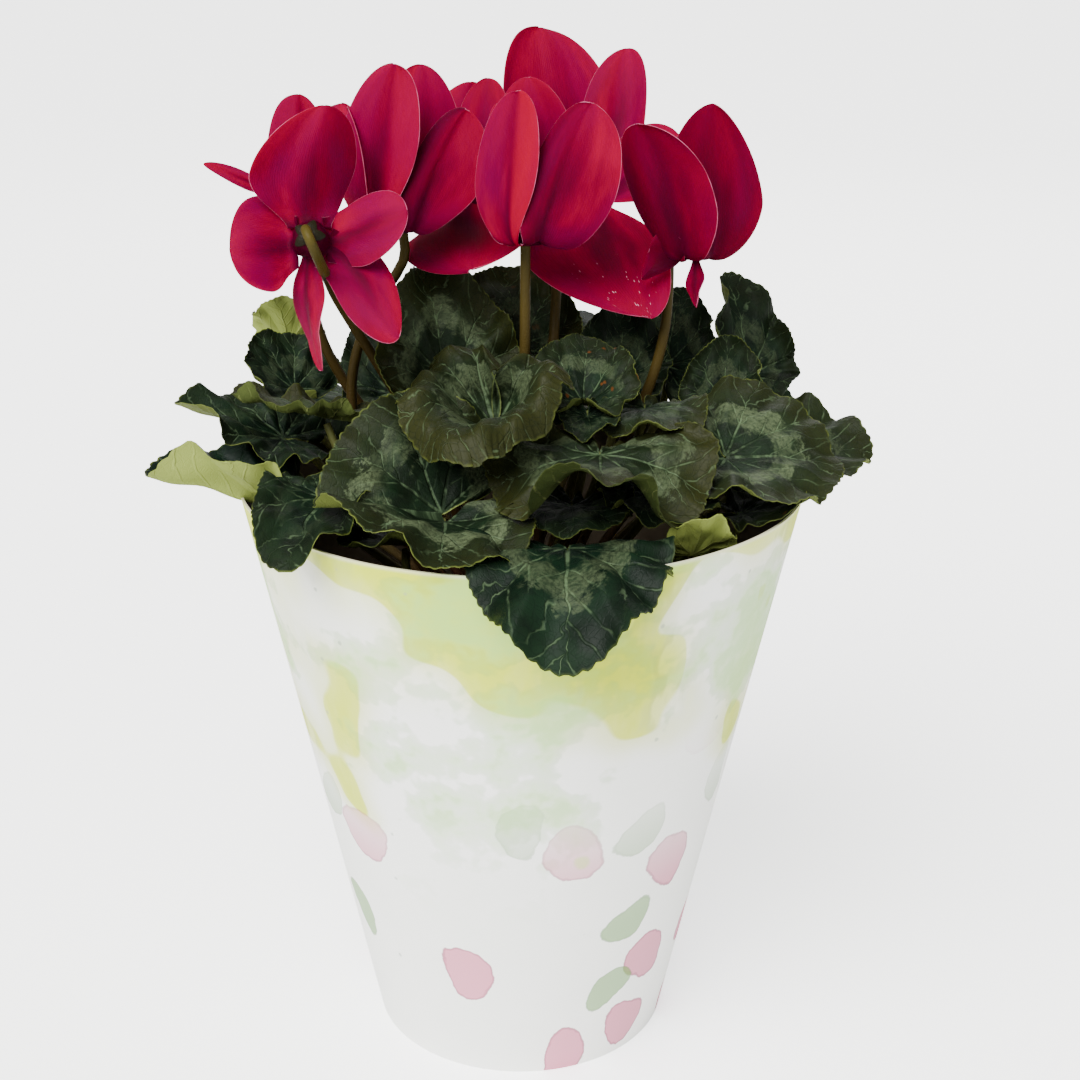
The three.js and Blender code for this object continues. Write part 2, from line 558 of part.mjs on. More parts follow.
/** A petal, swept back from the mouth's edge. */
function petalGeometry([azimuth, splay, length, width, twist, curl]) {
  const outward = new THREE.Vector3(Math.cos(azimuth * DEG), Math.sin(azimuth * DEG), 0);
  const heading = new THREE.Vector3(0, 0, Math.cos(splay * DEG))
    .addScaledVector(outward, Math.sin(splay * DEG));
  const root = outward.clone().multiplyScalar(MOUTH_RADIUS - 1.2).setZ(0.9);
  const tip = root.clone().addScaledVector(heading, length);
  const midrib = new THREE.CubicBezierCurve3(
    root,
    root.clone().addScaledVector(outward, 0.2 * length).add(new THREE.Vector3(0, 0, -6)),
    tip.clone().addScaledVector(heading, -0.45 * length)
      .addScaledVector(outward, -curl * DEG * length * 0.4),
    tip,
  );
  const across = new THREE.Vector3(0, 0, 1).cross(outward);
  const points = [];
  for (let i = 0; i <= PETAL_STEPS; i++) {
    const share = i / PETAL_STEPS;
    const centre = midrib.getPoint(share);
    const tangent = midrib.getTangent(share);
    across.addScaledVector(tangent, -across.dot(tangent)).normalize();
    const lateral = across.clone().applyAxisAngle(tangent, twist * DEG * share);
    const normal = new THREE.Vector3().crossVectors(tangent, lateral);
    for (let k = 0; k <= PETAL_STRIPS; k++) {
      const u = (2 * k) / PETAL_STRIPS - 1;
      const half = width * petalWidth(share);
      points.push(centre.clone()
        .addScaledVector(lateral, u * half)
        .addScaledVector(normal, 0.22 * half * (u * u - 0.3) * Math.min(1, 3 * share)));
    }
  }
  const faces = [];
  for (let i = 0; i < PETAL_STEPS; i++) {
    for (let k = 0; k < PETAL_STRIPS; k++) {
      const a = i * (PETAL_STRIPS + 1) + k;
      const b = a + PETAL_STRIPS + 1;
      faces.push([a, b, b + 1], [a, b + 1, a + 1]);
    }
  }
  return thicken(points, faces, PETAL_THICKNESS);
}

/** The corolla: a short tube, hollow at its mouth, with five petals swept back from its edge. */
function corollaGeometry(bloom) {
  const tube = lathe([
    [0, 2], [MOUTH_RADIUS - 1.8, 0], [MOUTH_RADIUS, 0], [MOUTH_RADIUS + 0.3, 2.4],
    [MOUTH_RADIUS - 1.4, TUBE_LENGTH], [0, TUBE_LENGTH],
  ], 8);
  return fuse([tube, ...bloom.petals.map(petalGeometry)]).applyMatrix4(bloomFrame(bloom));
}

/** The stalk, its crook over the bloom, and the star of sepals that holds the corolla's tube. */
function stalkGeometry(bloom, foot) {
  const frame = bloomFrame(bloom);
  const side = new THREE.Vector3(
    Math.cos(bloom.stalk * DEG), Math.sin(bloom.stalk * DEG), 0);
  const crook = (reach, height) => side.clone().multiplyScalar(reach * CROOK_REACH)
    .setZ(height * CROOK_RISE).applyMatrix4(frame);
  const axis = new THREE.Vector3(0, 0, 1).transformDirection(frame);
  const points = stemPoints(foot, crook(1, -0.5), axis, bloom.lean);
  points.push(crook(1, 0), crook(1, 0.45), crook(0.88, 0.8), crook(0.5, 1), crook(0.12, 0.92));
  points.push(crook(0, 0.7), crook(0, (TUBE_LENGTH + 0.6) / CROOK_RISE));
  const stalk = taperedTube(points, STALK_FOOT, STALK_END, STEM_SIDES);
  const star = new THREE.Shape();
  for (let k = 0; k < 10; k++) {
    const radius = k % 2 ? CALYX_RADIUS * 0.42 : CALYX_RADIUS;
    star[k ? 'lineTo' : 'moveTo'](
      radius * Math.cos((k * Math.PI) / 5), radius * Math.sin((k * Math.PI) / 5));
  }
  const calyx = new THREE.ExtrudeGeometry(star, { depth: 0.9, bevelEnabled: false })
    .translate(0, 0, TUBE_LENGTH + GAP)
    .applyMatrix4(frame);
  const indexed = mergeVertices(calyx.deleteAttribute('normal').deleteAttribute('uv'), 1e-4);
  return fuse([stalk, indexed]);
}

// Assembly

const part = new THREE.Group();

/** Adds a piece to the part, with its own colour and finish. */
function add(name, geometry, color, roughness) {
  const flat = geometry.index ? geometry.toNonIndexed() : geometry;
  flat.computeVertexNormals();
  const material = new THREE.MeshStandardMaterial({ color, roughness, metalness: 0 });
  const mesh = new THREE.Mesh(flat, material);
  mesh.name = name;
  part.add(mesh);
}

const leafNames = Object.keys(LEAVES);
const bloomNames = Object.keys(BLOOMS);
const aim = (end, lean = [0, 0, 0]) => new THREE.Vector3(...end).add(new THREE.Vector3(...lean));
const feet = crownFeet([
  ...leafNames.map((name) => aim(LEAVES[name].at, LEAVES[name].lean)),
  ...bloomNames.map((name) => aim(BLOOMS[name].mouth, BLOOMS[name].lean)),
]);

add('sleeve', sleeveGeometry(), 0xefefe8, 0.85);
add('nursery_pot', potGeometry(), 0x8a4a2c, 0.55);
add('soil', soilGeometry(), 0x3a2a1e, 1);
add('tuber', tuberGeometry(feet), 0x5a3d2a, 0.95);
leafNames.forEach((name, i) => {
  add(name, leafGeometry(LEAVES[name], feet[i]), 0x2f5a34, 0.6);
});
bloomNames.forEach((name, i) => {
  const bloom = BLOOMS[name];
  add(`bloom_${name}`, corollaGeometry(bloom), 0xb8004a, 0.55);
  add(`stalk_${name}`, stalkGeometry(bloom, feet[leafNames.length + i]), 0x5b4a30, 0.6);
});

export default part;
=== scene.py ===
# %% [markdown]
# # A florist's cyclamen
# A cyclamen is a mound of round, marbled leaves on bare stems, with nodding blooms whose petals
# turn back on themselves. All stems rise from one flat tuber in a nursery pot, and a printed card
# sleeve stands round the pot. The imported model already holds every piece at its real size. This
# lesson rebuilds each one finely from the same formulas, and gives it a finish made of nodes.
# The frame is loaded first. The finer pieces have to stay inside it.

import math

import bpy
import numpy as np
from mathutils import Matrix, Vector


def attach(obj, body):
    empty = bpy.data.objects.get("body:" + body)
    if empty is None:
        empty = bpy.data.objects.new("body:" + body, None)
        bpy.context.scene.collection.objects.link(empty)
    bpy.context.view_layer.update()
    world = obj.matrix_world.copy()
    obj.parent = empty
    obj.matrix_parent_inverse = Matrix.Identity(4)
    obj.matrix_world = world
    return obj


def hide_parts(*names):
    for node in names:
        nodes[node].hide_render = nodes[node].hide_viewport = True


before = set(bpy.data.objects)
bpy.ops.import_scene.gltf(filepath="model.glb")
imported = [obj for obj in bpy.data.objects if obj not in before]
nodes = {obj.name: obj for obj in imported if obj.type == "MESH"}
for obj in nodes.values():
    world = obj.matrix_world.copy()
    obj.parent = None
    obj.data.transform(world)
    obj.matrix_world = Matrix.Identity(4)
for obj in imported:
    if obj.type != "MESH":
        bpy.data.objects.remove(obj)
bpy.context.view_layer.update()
MM = 0.001  # sizes below are in millimetres, and Blender's are in metres

# %% [markdown]
# The camera stands a little above the blooms and looks down on the rim, so the sleeve's mouth
# shows as an ellipse. A lens is a focal length over a sensor width. Here the focal length was
# worked out in pixels from that ellipse, so it is turned into millimetres of lens.

# %% Camera
PHOTO_SIDE_PX = 1080
FOCAL_LENGTH_PX = 1800
SENSOR_WIDTH = 36
CAMERA_PLACE = Vector((0, -547.4, 377.3))
CAMERA_PITCH = math.radians(20.7)
CAMERA_ROLL = math.radians(0.31)
CAMERA_YAW = math.radians(0.63)


def camera_axes():
    """The camera's right, up and forward directions."""
    forward = Vector((
        math.sin(CAMERA_YAW) * math.cos(CAMERA_PITCH),
        math.cos(CAMERA_YAW) * math.cos(CAMERA_PITCH),
        -math.sin(CAMERA_PITCH),
    ))
    level = Vector((math.cos(CAMERA_YAW), -math.sin(CAMERA_YAW), 0))
    upright = level.cross(forward)
    right = math.cos(CAMERA_ROLL) * level + math.sin(CAMERA_ROLL) * upright
    return right, right.cross(forward), forward


right, up, forward = camera_axes()
lens = bpy.data.cameras.new("camera")
lens.sensor_width = SENSOR_WIDTH
lens.lens = SENSOR_WIDTH * FOCAL_LENGTH_PX / PHOTO_SIDE_PX
lens.clip_end = 50
camera = bpy.data.objects.new("camera", lens)
camera.matrix_world = Matrix.Translation(CAMERA_PLACE * MM) @ Matrix(
    (right, up, -forward)).transposed().to_4x4()
bpy.context.scene.collection.objects.link(camera)
bpy.context.scene.camera = camera
print("lens in mm:", round(lens.lens, 1))

# %% [markdown]
# Materials here are built from nodes by a script. Clicking them together would show the same
# tree, but written out it can be read from top to bottom. This small helper adds a node, fills
# its sockets with numbers or links, and hands back the output, so that a formula reads as one.

# %% A helper that writes node trees
class Graph:
    """Adds nodes to one tree and joins them."""

    def __init__(self, tree):
        self.tree = tree

    def fill(self, sockets, values):
        """Gives sockets their values, or a link where the value is another node's output."""
        for key, value in values.items():
            if isinstance(value, bpy.types.NodeSocket):
                self.tree.links.new(value, sockets[key])
            else:
                sockets[key].default_value = value

    def add(self, kind, values=None, **settings):
        made = self.tree.nodes.new(kind)
        for key, setting in settings.items():
            setattr(made, key, setting)
        self.fill(made.inputs, values or {})
        return made

    def group(self, tree, **values):
        return self.add("ShaderNodeGroup", values, node_tree=tree).outputs

    def math(self, operation, *values):
        return self.add("ShaderNodeMath", dict(enumerate(values)), operation=operation).outputs[0]

    def times(self, value, *others):
        for other in others:
            value = self.math("MULTIPLY", value, other)
        return value

    def plus(self, value, *others):
        for other in others:
            value = self.math("ADD", value, other)
        return value

    def minus(self, value, other):
        return self.math("SUBTRACT", value, other)

    def size(self, value):
        return self.math("ABSOLUTE", value)

    def off_whole(self, value):
        """How far a value is from the nearest whole number."""
        return self.minus(value, self.math("ROUND", value))

    def step(self, value, low, high, start=0.0, end=1.0):
        """Runs smoothly from start to end while value goes from low to high."""
        made = self.add("ShaderNodeMapRange", {0: value, 1: low, 2: high, 3: start, 4: end},
                        interpolation_type="SMOOTHSTEP")
        return made.outputs[0]

    def mix(self, factor, first, second):
        return self.add("ShaderNodeMix", {0: factor, 6: first, 7: second}, data_type="RGBA").outputs[2]

    def between(self, mask, first, second):
        """A mix of two colours, given as the eye reads them."""
        return self.mix(mask, srgb(first), srgb(second))

    def coats(self, colour, *coats):
        """Lays coats over a colour. Each is a mask, how much of it shows, and its colour."""
        for mask, share, code in coats:
            colour = self.mix(self.times(mask, share), colour, srgb(code))
        return colour

    def noise(self, vector, scale, detail=3.0, roughness=0.5):
        made = self.add("ShaderNodeTexNoise", {
            "Vector": vector, "Scale": scale, "Detail": detail, "Roughness": roughness})
        return made.outputs[0]

    def drift(self, amount, *place):
        """Noise that goes above and below zero."""
        return self.times(self.minus(self.noise(*place), 0.5), amount)

    def cells(self, vector, scale, feature="F1", **settings):
        return self.add("ShaderNodeTexVoronoi", {"Vector": vector, "Scale": scale}, feature=feature,
                        **settings)

    def fact(self, name):
        """A fact stored on the mesh's points, such as how far out on the leaf a point is."""
        return self.add("ShaderNodeAttribute", attribute_name=name).outputs["Vector"]

    def object_place(self):
        return self.add("ShaderNodeTexCoord").outputs["Object"]

    def split(self, vector):
        return self.add("ShaderNodeSeparateXYZ", {0: vector}).outputs

    def join(self, x, y, z):
        return self.add("ShaderNodeCombineXYZ", {0: x, 1: y, 2: z}).outputs[0]

    def vector_math(self, operation, first, second):
        return self.add("ShaderNodeVectorMath", {0: first, 1: second}, operation=operation).outputs[0]

    def scaled(self, vector, factors):
        return self.vector_math("MULTIPLY", vector, factors)

    def moved(self, vector, by):
        return self.vector_math("ADD", vector, by)

    def bump(self, height, strength, distance):
        made = self.add("ShaderNodeBump", {"Height": height, "Strength": strength, "Distance": distance})
        return made.outputs[0]


def srgb(code):
    """A colour as the eye reads it, such as 0x8A4A2C, as the light values a shader wants."""
    parts = [((code >> shift) & 255) / 255 for shift in (16, 8, 0)]
    return (*[p / 12.92 if p < 0.04045 else ((p + 0.055) / 1.055) ** 2.4 for p in parts], 1)


def effect(name, inputs, outputs):
    """An empty node group and the sockets at its two ends. Its first input is a vector."""
    tree = bpy.data.node_groups.new(name, "ShaderNodeTree")
    for number, label in enumerate(inputs):
        kind = "NodeSocketFloat" if number else "NodeSocketVector"
        tree.interface.new_socket(label, in_out="INPUT", socket_type=kind)
    for label in outputs:
        tree.interface.new_socket(label, in_out="OUTPUT", socket_type="NodeSocketFloat")
    graph = Graph(tree)
    return graph, graph.add("NodeGroupInput").outputs, graph.add("NodeGroupOutput").inputs


def finish(name):
    """A new material, the helper for its tree, and the sockets of its Principled shader."""
    material = bpy.data.materials.new(name)
    material.use_nodes = True
    return material, Graph(material.node_tree), material.node_tree.nodes["Principled BSDF"].inputs


print("helper ready")

# %% [markdown]
# Studio light for a plant is soft and comes from the front and above, so petals glow and the
# leaves keep their sheen. A sun lamp with a very wide disc lights plant and floor alike, as a tall
# window does, and large area lights model the forms. A dimmer world fills the shadows, yet leaves
# them dark between the leaves. The floor is plain and pale and isn't part of the plant.

# %% Light and floor
FLOOR_SIDE = 40  # metres
FLOOR_COLOUR = (0.86, 0.86, 0.85, 1)
FLOOR_ROUGHNESS = 0.9
FLOOR_GLOW = 1.5
SKY_AIM = (0.45, 0.75, -1.0)
SKY_SPREAD = 50  # degrees
SKY_STRENGTH = 8.6
WORLD_STRENGTH = 0.5
AREA_LIGHTS = {  # each one's place, what it is aimed at, its side, its power in watts and its tint
    "key light": ((-0.9, -1.1, 1.5), (0, 0, 0.2), 1.0, 18, (1, 0.985, 0.96)),
    "fill light": ((1.2, -0.9, 0.7), (0, 0, 0.18), 1.2, 8, (0.95, 0.97, 1)),
    "back light": ((0.2, 1.3, 1.2), (0, 0, 0.22), 1.0, 14, (1, 1, 1)),
}


def aimed_light(name, kind, energy, place, aim):
    """A light of one kind, placed and aimed in metres."""
    light = bpy.data.lights.new(name, kind)
    light.energy = energy
    lamp = bpy.data.objects.new(name, light)
    lamp.location = place
    lamp.rotation_euler = (Vector(aim) - Vector(place)).to_track_quat("-Z", "Y").to_euler()
    bpy.context.scene.collection.objects.link(lamp)
    return light


def floor_paint():
    """A plain colour, which glows to the camera's own rays as a lit backdrop does."""
    material, graph, shader = finish("floor paint")
    seen = graph.add("ShaderNodeLightPath").outputs["Is Camera Ray"]
    graph.fill(shader, {
        "Base Color": FLOOR_COLOUR,
        "Roughness": FLOOR_ROUGHNESS,
        "Emission Color": (1, 1, 1, 1),
        "Emission Strength": graph.times(seen, FLOOR_GLOW),
    })
    return material


sky = aimed_light("sky light", "SUN", SKY_STRENGTH, (0, 0, 0), SKY_AIM)
sky.angle = math.radians(SKY_SPREAD)
for name, (place, aim, side, power, tint) in AREA_LIGHTS.items():
    light = aimed_light(name, "AREA", power, place, aim)
    light.shape, light.size, light.color = "SQUARE", side, tint
world = bpy.data.worlds.new("studio")
world.use_nodes = True
world.node_tree.nodes["Background"].inputs["Color"].default_value = (1, 1, 1, 1)
world.node_tree.nodes["Background"].inputs["Strength"].default_value = WORLD_STRENGTH
bpy.context.scene.world = world

bpy.ops.mesh.primitive_plane_add(size=FLOOR_SIDE)
floor = bpy.context.active_object
floor.name = "floor"
floor.data.materials.append(floor_paint())

# %% [markdown]
# Everything that grew here is made of cells, so at close range leaf, petal, stalk and tuber share
# one effect: slow blotches of tone over a fine pebbled grain. It is a node group, and each
# material places it with a scale of its own. A second effect scatters flecks. It gives the spots
# on old leaves, the dust in the print, and the white grains in the soil.

# %% Effects that several finishes share
def tissue_effect():
    graph, given, out = effect("living tissue", ["Vector", "Coarse", "Fine"], ["Blotches", "Grain"])
    slow = graph.noise(given["Vector"], given["Coarse"], 4.0, 0.55)
    pebbles = graph.cells(given["Vector"], given["Fine"]).outputs["Distance"]
    graph.fill(out, {"Blotches": graph.step(slow, 0.3, 0.7), "Grain": graph.minus(1.0, pebbles)})
    return graph.tree


def fleck_effect():
    graph, given, out = effect("flecks", ["Vector", "Scale", "Share", "Size"], ["Mask"])
    centres = graph.cells(given["Vector"], given["Scale"]).outputs
    chosen = graph.math("LESS_THAN", graph.split(centres["Color"])[0], given["Share"])
    rough = graph.noise(given["Vector"], graph.times(given["Scale"], 3.0), 2.0)
    size = graph.times(given["Size"], graph.plus(rough, 0.5))
    spot = graph.step(graph.minus(size, centres["Distance"]), 0.0, 0.1)
    graph.fill(out, {"Mask": graph.times(chosen, spot)})
    return graph.tree


tissue = tissue_effect()
flecks = fleck_effect()
print("shared effects:", [tissue.name, flecks.name])

# %% [markdown]
# Leaves and petals are thin sheets, so they are computed as grids of points. A grid becomes a
# closed sheet with two faces and an edge strip, and a path becomes a tapering tube. Subdivision
# surfaces would also do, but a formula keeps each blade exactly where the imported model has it.

# %% Tools that turn points into closed pieces
DEGREE = math.pi / 180
SHARP_ANGLE = 55 * DEGREE


def grid_normals(grid):
    """Directions out of a grid of points, whose rows run out and whose columns run across."""
    normals = np.cross(np.gradient(grid, axis=0), np.gradient(grid, axis=1))
    return normals / np.maximum(np.linalg.norm(normals, axis=2, keepdims=True), 1e-9)


def grid_faces(rows, columns, around=False):
    index = np.arange(rows * columns).reshape(rows, columns)
    if around:
        index = np.concatenate([index, index[:, :1]], axis=1)
    return np.stack([index[:-1, :-1], index[1:, :-1], index[1:, 1:], index[:-1, 1:]], -1).reshape(-1, 4)


def closed_sheet(grid, thickness):
    """The points and faces of a grid given a thickness: upper face, lower face and edge strip."""
    rows, columns = grid.shape[:2]
    count = rows * columns
    lift = grid_normals(grid) * (np.asarray(thickness)[..., None] / 2)
    points = np.concatenate([(grid + lift).reshape(-1, 3), (grid - lift).reshape(-1, 3)])
    upper = grid_faces(rows, columns)
    index = np.arange(count).reshape(rows, columns)
    edge = np.concatenate([index[:, 0], index[-1, 1:], index[-2::-1, -1], index[0, -2:0:-1]])
    after = np.roll(edge, -1)
    strip = np.stack([after, edge, edge + count, after + count], -1)
    return points, np.concatenate([upper, upper[:, ::-1] + count, strip]).tolist()


def circle(columns):
    """Evenly spaced angles round an axis."""
    return np.linspace(0, 2 * np.pi, columns, endpoint=False)


def rings_about_axis(radius, turn, height):
    return np.stack([radius * np.cos(turn), radius * np.sin(turn), height], -1)


def closed_rings(rings):
    """The points and faces of a solid made of rings of points, with a cap at each end."""
    rows, columns = rings.shape[:2]
    last = (rows - 1) * columns
    faces = grid_faces(rows, columns, around=True).tolist()
    faces += [list(range(columns)), list(range(last, last + columns))[::-1]]
    return rings.reshape(-1, 3), faces


def closed_tube(path, radii, sides):
    """The points and faces of a round stem through a path, with a radius at each point."""
    path = np.asarray(path, float)
    tangents = np.gradient(path, axis=0)
    tangents /= np.linalg.norm(tangents, axis=1, keepdims=True)
    turn = np.arange(sides) * 2 * np.pi / sides
    side = np.array([1.0, 0.0, 0.0])
    rings = []
    for point, tangent, radius in zip(path, tangents, radii):
        side = side - tangent * side.dot(tangent)
        side /= np.linalg.norm(side)
        across = np.cross(tangent, side)
        rings.append(point + radius * (np.outer(np.cos(turn), side) + np.outer(np.sin(turn), across)))
    points, faces = closed_rings(np.array(rings))
    return points, [face[::-1] for face in faces]


class Piece:
    """Gathers the points, faces and facts of one piece, and then makes its mesh."""

    def __init__(self):
        self.points, self.faces, self.finishes, self.facts = [], [], [], []
        self.count = 0

    def add(self, points, faces, finish_index=0, **facts):
        self.points.append(points)
        self.faces += [[i + self.count for i in face] for face in faces]
        self.finishes += [finish_index] * len(faces)
        self.facts.append((self.count, len(points), facts))
        self.count += len(points)

    def add_stem(self, path, radii, sides, finish_index=0):
        """Adds a tapering stem, whose points know how far up it they are."""
        points, faces = closed_tube(path, np.linspace(*radii, len(path)), sides)
        share = np.repeat(np.linspace(0, 1, len(path)), sides)
        self.add(points, faces, finish_index, up=np.stack([share, 0 * share, 0 * share], -1))

    def make(self, name, finishes, slot, node):
        mesh = bpy.data.meshes.new(name)
        mesh.from_pydata((np.concatenate(self.points) * MM).tolist(), [], self.faces)
        mesh.polygons.foreach_set("material_index", self.finishes)
        for label in sorted({label for _, _, facts in self.facts for label in facts}):
            values = np.zeros((self.count, 3), np.float32)
            for first, size, facts in self.facts:
                if label in facts:
                    values[first:first + size] = np.asarray(facts[label]).reshape(-1, 3)
            store = mesh.attributes.new(label, "FLOAT_VECTOR", "POINT")
            store.data.foreach_set("vector", values.ravel())
        for material in finishes:
            mesh.materials.append(material)
        mesh.shade_smooth()
        mesh.set_sharp_from_angle(angle=SHARP_ANGLE)
        piece = bpy.data.objects.new(name, mesh)
        bpy.context.scene.collection.objects.link(piece)
        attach(piece, "root")
        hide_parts(node)


def bezier(controls, shares):
    """Points along a cubic Bezier curve, at the given shares of its way."""
    t = np.asarray(shares)[:, None]
    a, b, c, d = (np.asarray(control, float) for control in controls)
    return a * (1 - t) ** 3 + 3 * b * t * (1 - t) ** 2 + 3 * c * t * t * (1 - t) + d * t ** 3


def rounded_path(corners, steps):
    """A smooth path through all the corners, with some steps between each two."""
    p = np.asarray(corners, float)
    p = np.concatenate([[2 * p[0] - p[1]], p, [2 * p[-1] - p[-2]]])
    t = np.linspace(0, 1, steps, endpoint=False)[:, None]
    parts = []
    for a, b, c, d in zip(p[:-3], p[1:-2], p[2:-1], p[3:]):
        parts.append(0.5 * (2 * b + (c - a) * t + (2 * a - 5 * b + 4 * c - d) * t ** 2
                            + (3 * b - a - 3 * c + d) * t ** 3))
    return np.concatenate([*parts, p[-2:-1]])


def smoothstep(value, low, high):
    t = np.clip((value - low) / (high - low), 0, 1)
    return t * t * (3 - 2 * t)


def toward(azimuth):
    """The level direction toward an azimuth in degrees."""
    return np.array([math.cos(azimuth * DEGREE), math.sin(azimuth * DEGREE), 0])


print("mesh tools ready")

# %% [markdown]
# Every stem stands in its own socket in the tuber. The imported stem's lowest points say where that
# is, so no place is typed twice. A stem leaves its socket straight up, sweeps out and meets its
# blade or bloom from behind. One Bezier curve does that, and `lean` moves its middle to pass a
# neighbour.

# %% Stems
CROWN_TOP = 121
SOCKET_REACH = 0.0015  # metres; points this near a packed stem's lowest one are its foot


def socket_of(node):
    """The middle of a packed stem's foot, in millimetres."""
    points = np.array([v.co for v in nodes[node].data.vertices])
    low = points[points[:, 2] < points[:, 2].min() + SOCKET_REACH]
    return low.mean(axis=0) / MM


def stem_path(node, end, arrival, lean, steps=22):
    """A stem's points from its socket to where it ends."""
    foot = socket_of(node)
    end, arrival, lean = (np.asarray(v, float) for v in (end, arrival, lean))
    mouth = np.array([foot[0], foot[1], CROWN_TOP + 1])
    rise = np.array([0, 0, (end[2] - mouth[2]) * 0.5])
    back = 0.35 * np.linalg.norm(end - mouth) * arrival
    sweep = bezier([mouth, mouth + rise + lean, end - back + lean, end], np.linspace(0, 1, steps))
    return np.concatenate([[foot], sweep])


print("socket of the front left leaf:", socket_of("leaf_front_left").round(1))

# %% [markdown]
# A cyclamen leaf is a heart with a toothed edge, and no two on a plant lie alike. Each has a
# place, a tip and a few angles: `roll` about its midrib, `bend` down the midrib, `fold` and `cup`
# of its two halves, `funnel` all round, and a `wave` in its margin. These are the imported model's
# own values. `look` adds what only the finish needs: silver marbling, a pale margin and spots.

# %% The leaves, by where they grow
LEAVES = {
    "front_left": dict(at=(-21.5, -54, 202.4), tip=(-56, -66, 206), wide=1.02, back=0.62, roll=-30, bend=5,
        fold=(28, 8), cup=(-10, 15), wave=(0.06, 4, 0)),
    "front_hanging": dict(at=(13, -71, 196), tip=(12, -112.2, 178), wide=0.62, back=0.5, bend=80,
        wave=(0.03, 3, 40)),
    "front_middle": dict(at=(23, -43.5, 215), tip=(22, -79, 208.5), wide=0.95, back=0.3, bend=20,
        cup=(-10, -10), wave=(0.4, 3.3, 90)),
    "front_inner": dict(at=(38, -16, 221), tip=(42, -40, 219), wide=0.75, back=0.35, bend=20, cup=(-10, -40),
        wave=(0.15, 4, 90)),
    "front_right": dict(at=(62, -29, 211.5), tip=(95, -28, 204), wide=0.92, back=0.35, roll=26, bend=25,
        fold=(0, 16), cup=(0, -10), wave=(0.05, 4, 90)),
    "right_rim": dict(at=(66, -34, 193), tip=(84, -46, 198), wide=0.5, roll=10, bend=10, wave=(0.05, 4, 90)),
    "right_curled": dict(at=(50, -52, 187), tip=(53, -68, 201), wide=0.6, bend=10, wave=(0.05, 4, 90)),
    "right": dict(at=(76, 0, 200), tip=(110, -1, 203), wide=0.85, back=0.45, roll=15, bend=25,
        wave=(0.06, 4, 0)),
    "right_tall": dict(at=(76, 28, 218), tip=(70, 38, 249), wide=0.5, back=0.35, bend=10, cup=(20, 20),
        wave=(0.04, 4, 0), lean=(0, -6, 0)),
    "right_inner": dict(at=(64, 4, 216), tip=(66, 14, 234), wide=0.68, back=0.4, bend=-10, cup=(30, 30)),
    "right_dark": dict(at=(47.5, 28, 222), tip=(52.5, 44, 242), wide=0.65, back=0.6, cup=(20, 20)),
    "middle_funnel": dict(at=(-10, -31, 232), tip=(-21, -59, 218), wide=0.72, bend=10, funnel=20,
        wave=(0.08, 5, 0), lean=(-3, -3, 0)),
    "middle_cupped": dict(at=(19, -18, 226), tip=(20, 2, 236), wide=0.8, cup=(20, 20), funnel=10,
        lean=(0, 8, 0)),
    "middle_low": dict(at=(20, -24, 221), tip=(21, -40, 218), wide=0.6, back=0.4, cup=(10, 10),
        wave=(0.08, 5, 0), lean=(3, -8, 0)),
    "middle_dark": dict(at=(32, 14, 222), tip=(33, 34, 238), wide=0.65, back=0.4, cup=(20, 20), funnel=10),
    "middle_tall": dict(at=(-22, -7, 226), tip=(-30, 11, 256), wide=0.68, back=0.45, bend=10, cup=(10, 10)),
    "behind_middle": dict(at=(-2, 28, 228), tip=(-5, 48, 249), wide=0.8, back=0.35, bend=10, cup=(20, 20)),
    "left_rim": dict(at=(-34, -46, 188), tip=(-45, -66, 194), wide=0.8, cup=(10, 10), wave=(0.08, 5, 0),
        lean=(-6, 0, 0)),
    "front_rim": dict(at=(40, -38, 201), tip=(48, -62, 199), wide=0.72, cup=(10, 10), wave=(0.08, 5, 0)),
    "front_deep": dict(at=(15, -42, 198.6), tip=(15, -67, 197), wide=0.74, back=0.4, bend=20, cup=(5, 5),
        wave=(0.06, 4, 0), lean=(-3, 0, 0)),
    "left_low": dict(at=(-58, -42, 201), tip=(-66, -78, 194), wide=0.5, back=0.35, bend=20, fold=(10, 10),
        cup=(10, 10), lean=(0, -6, 0)),
    "left": dict(at=(-74, -17, 187), tip=(-109.6, -28, 205), wide=0.6, back=0.25, fold=(30, 22),
        cup=(10, 10)),
    "left_upper": dict(at=(-76, 6, 204), tip=(-107, 0, 216), wide=0.55, back=0.4, fold=(-10, 22),
        cup=(10, 10), lean=(0, 10, 0)),
    "left_edge": dict(at=(-60, -9, 216), tip=(-88, -8, 221), wide=0.6, back=0.3, roll=14, cup=(10, 10),
        lean=(0, -6, 0)),
    "left_upright": dict(at=(-74, 24, 215), tip=(-86, 32, 230), wide=1.0, back=0.35, cup=(20, 20),
        lean=(2, 2, 0)),
    "left_small": dict(at=(-79, 48, 224), tip=(-80, 36, 242), wide=0.6, cup=(20, 20), lean=(0, 6, 0)),
    "left_dark": dict(at=(-43, 30, 212), tip=(-49, 54, 231), wide=0.55, back=0.4, cup=(20, 20)),
    "back_right": dict(at=(69, 47, 199), tip=(94, 58, 200), wide=0.7, back=0.3, bend=20, cup=(5, 5),
        wave=(0.08, 4, 0)),
    "back_right_low": dict(at=(26, 70, 200), tip=(34, 104, 196), wide=0.7, bend=30, cup=(5, 5),
        wave=(0.08, 4, 0)),
    "back": dict(at=(-10, 70, 206), tip=(-12, 111.8, 202), wide=0.8, bend=20, cup=(5, 5), wave=(0.08, 4, 0)),
    "back_left": dict(at=(-52, 62, 200), tip=(-70, 90, 197), wide=0.8, bend=20, cup=(5, 5),
        wave=(0.08, 4, 0)),
    "back_high": dict(at=(26, 46, 222), tip=(34, 76, 224), wide=0.8, bend=20, cup=(5, 5), wave=(0.08, 4, 0)),
}
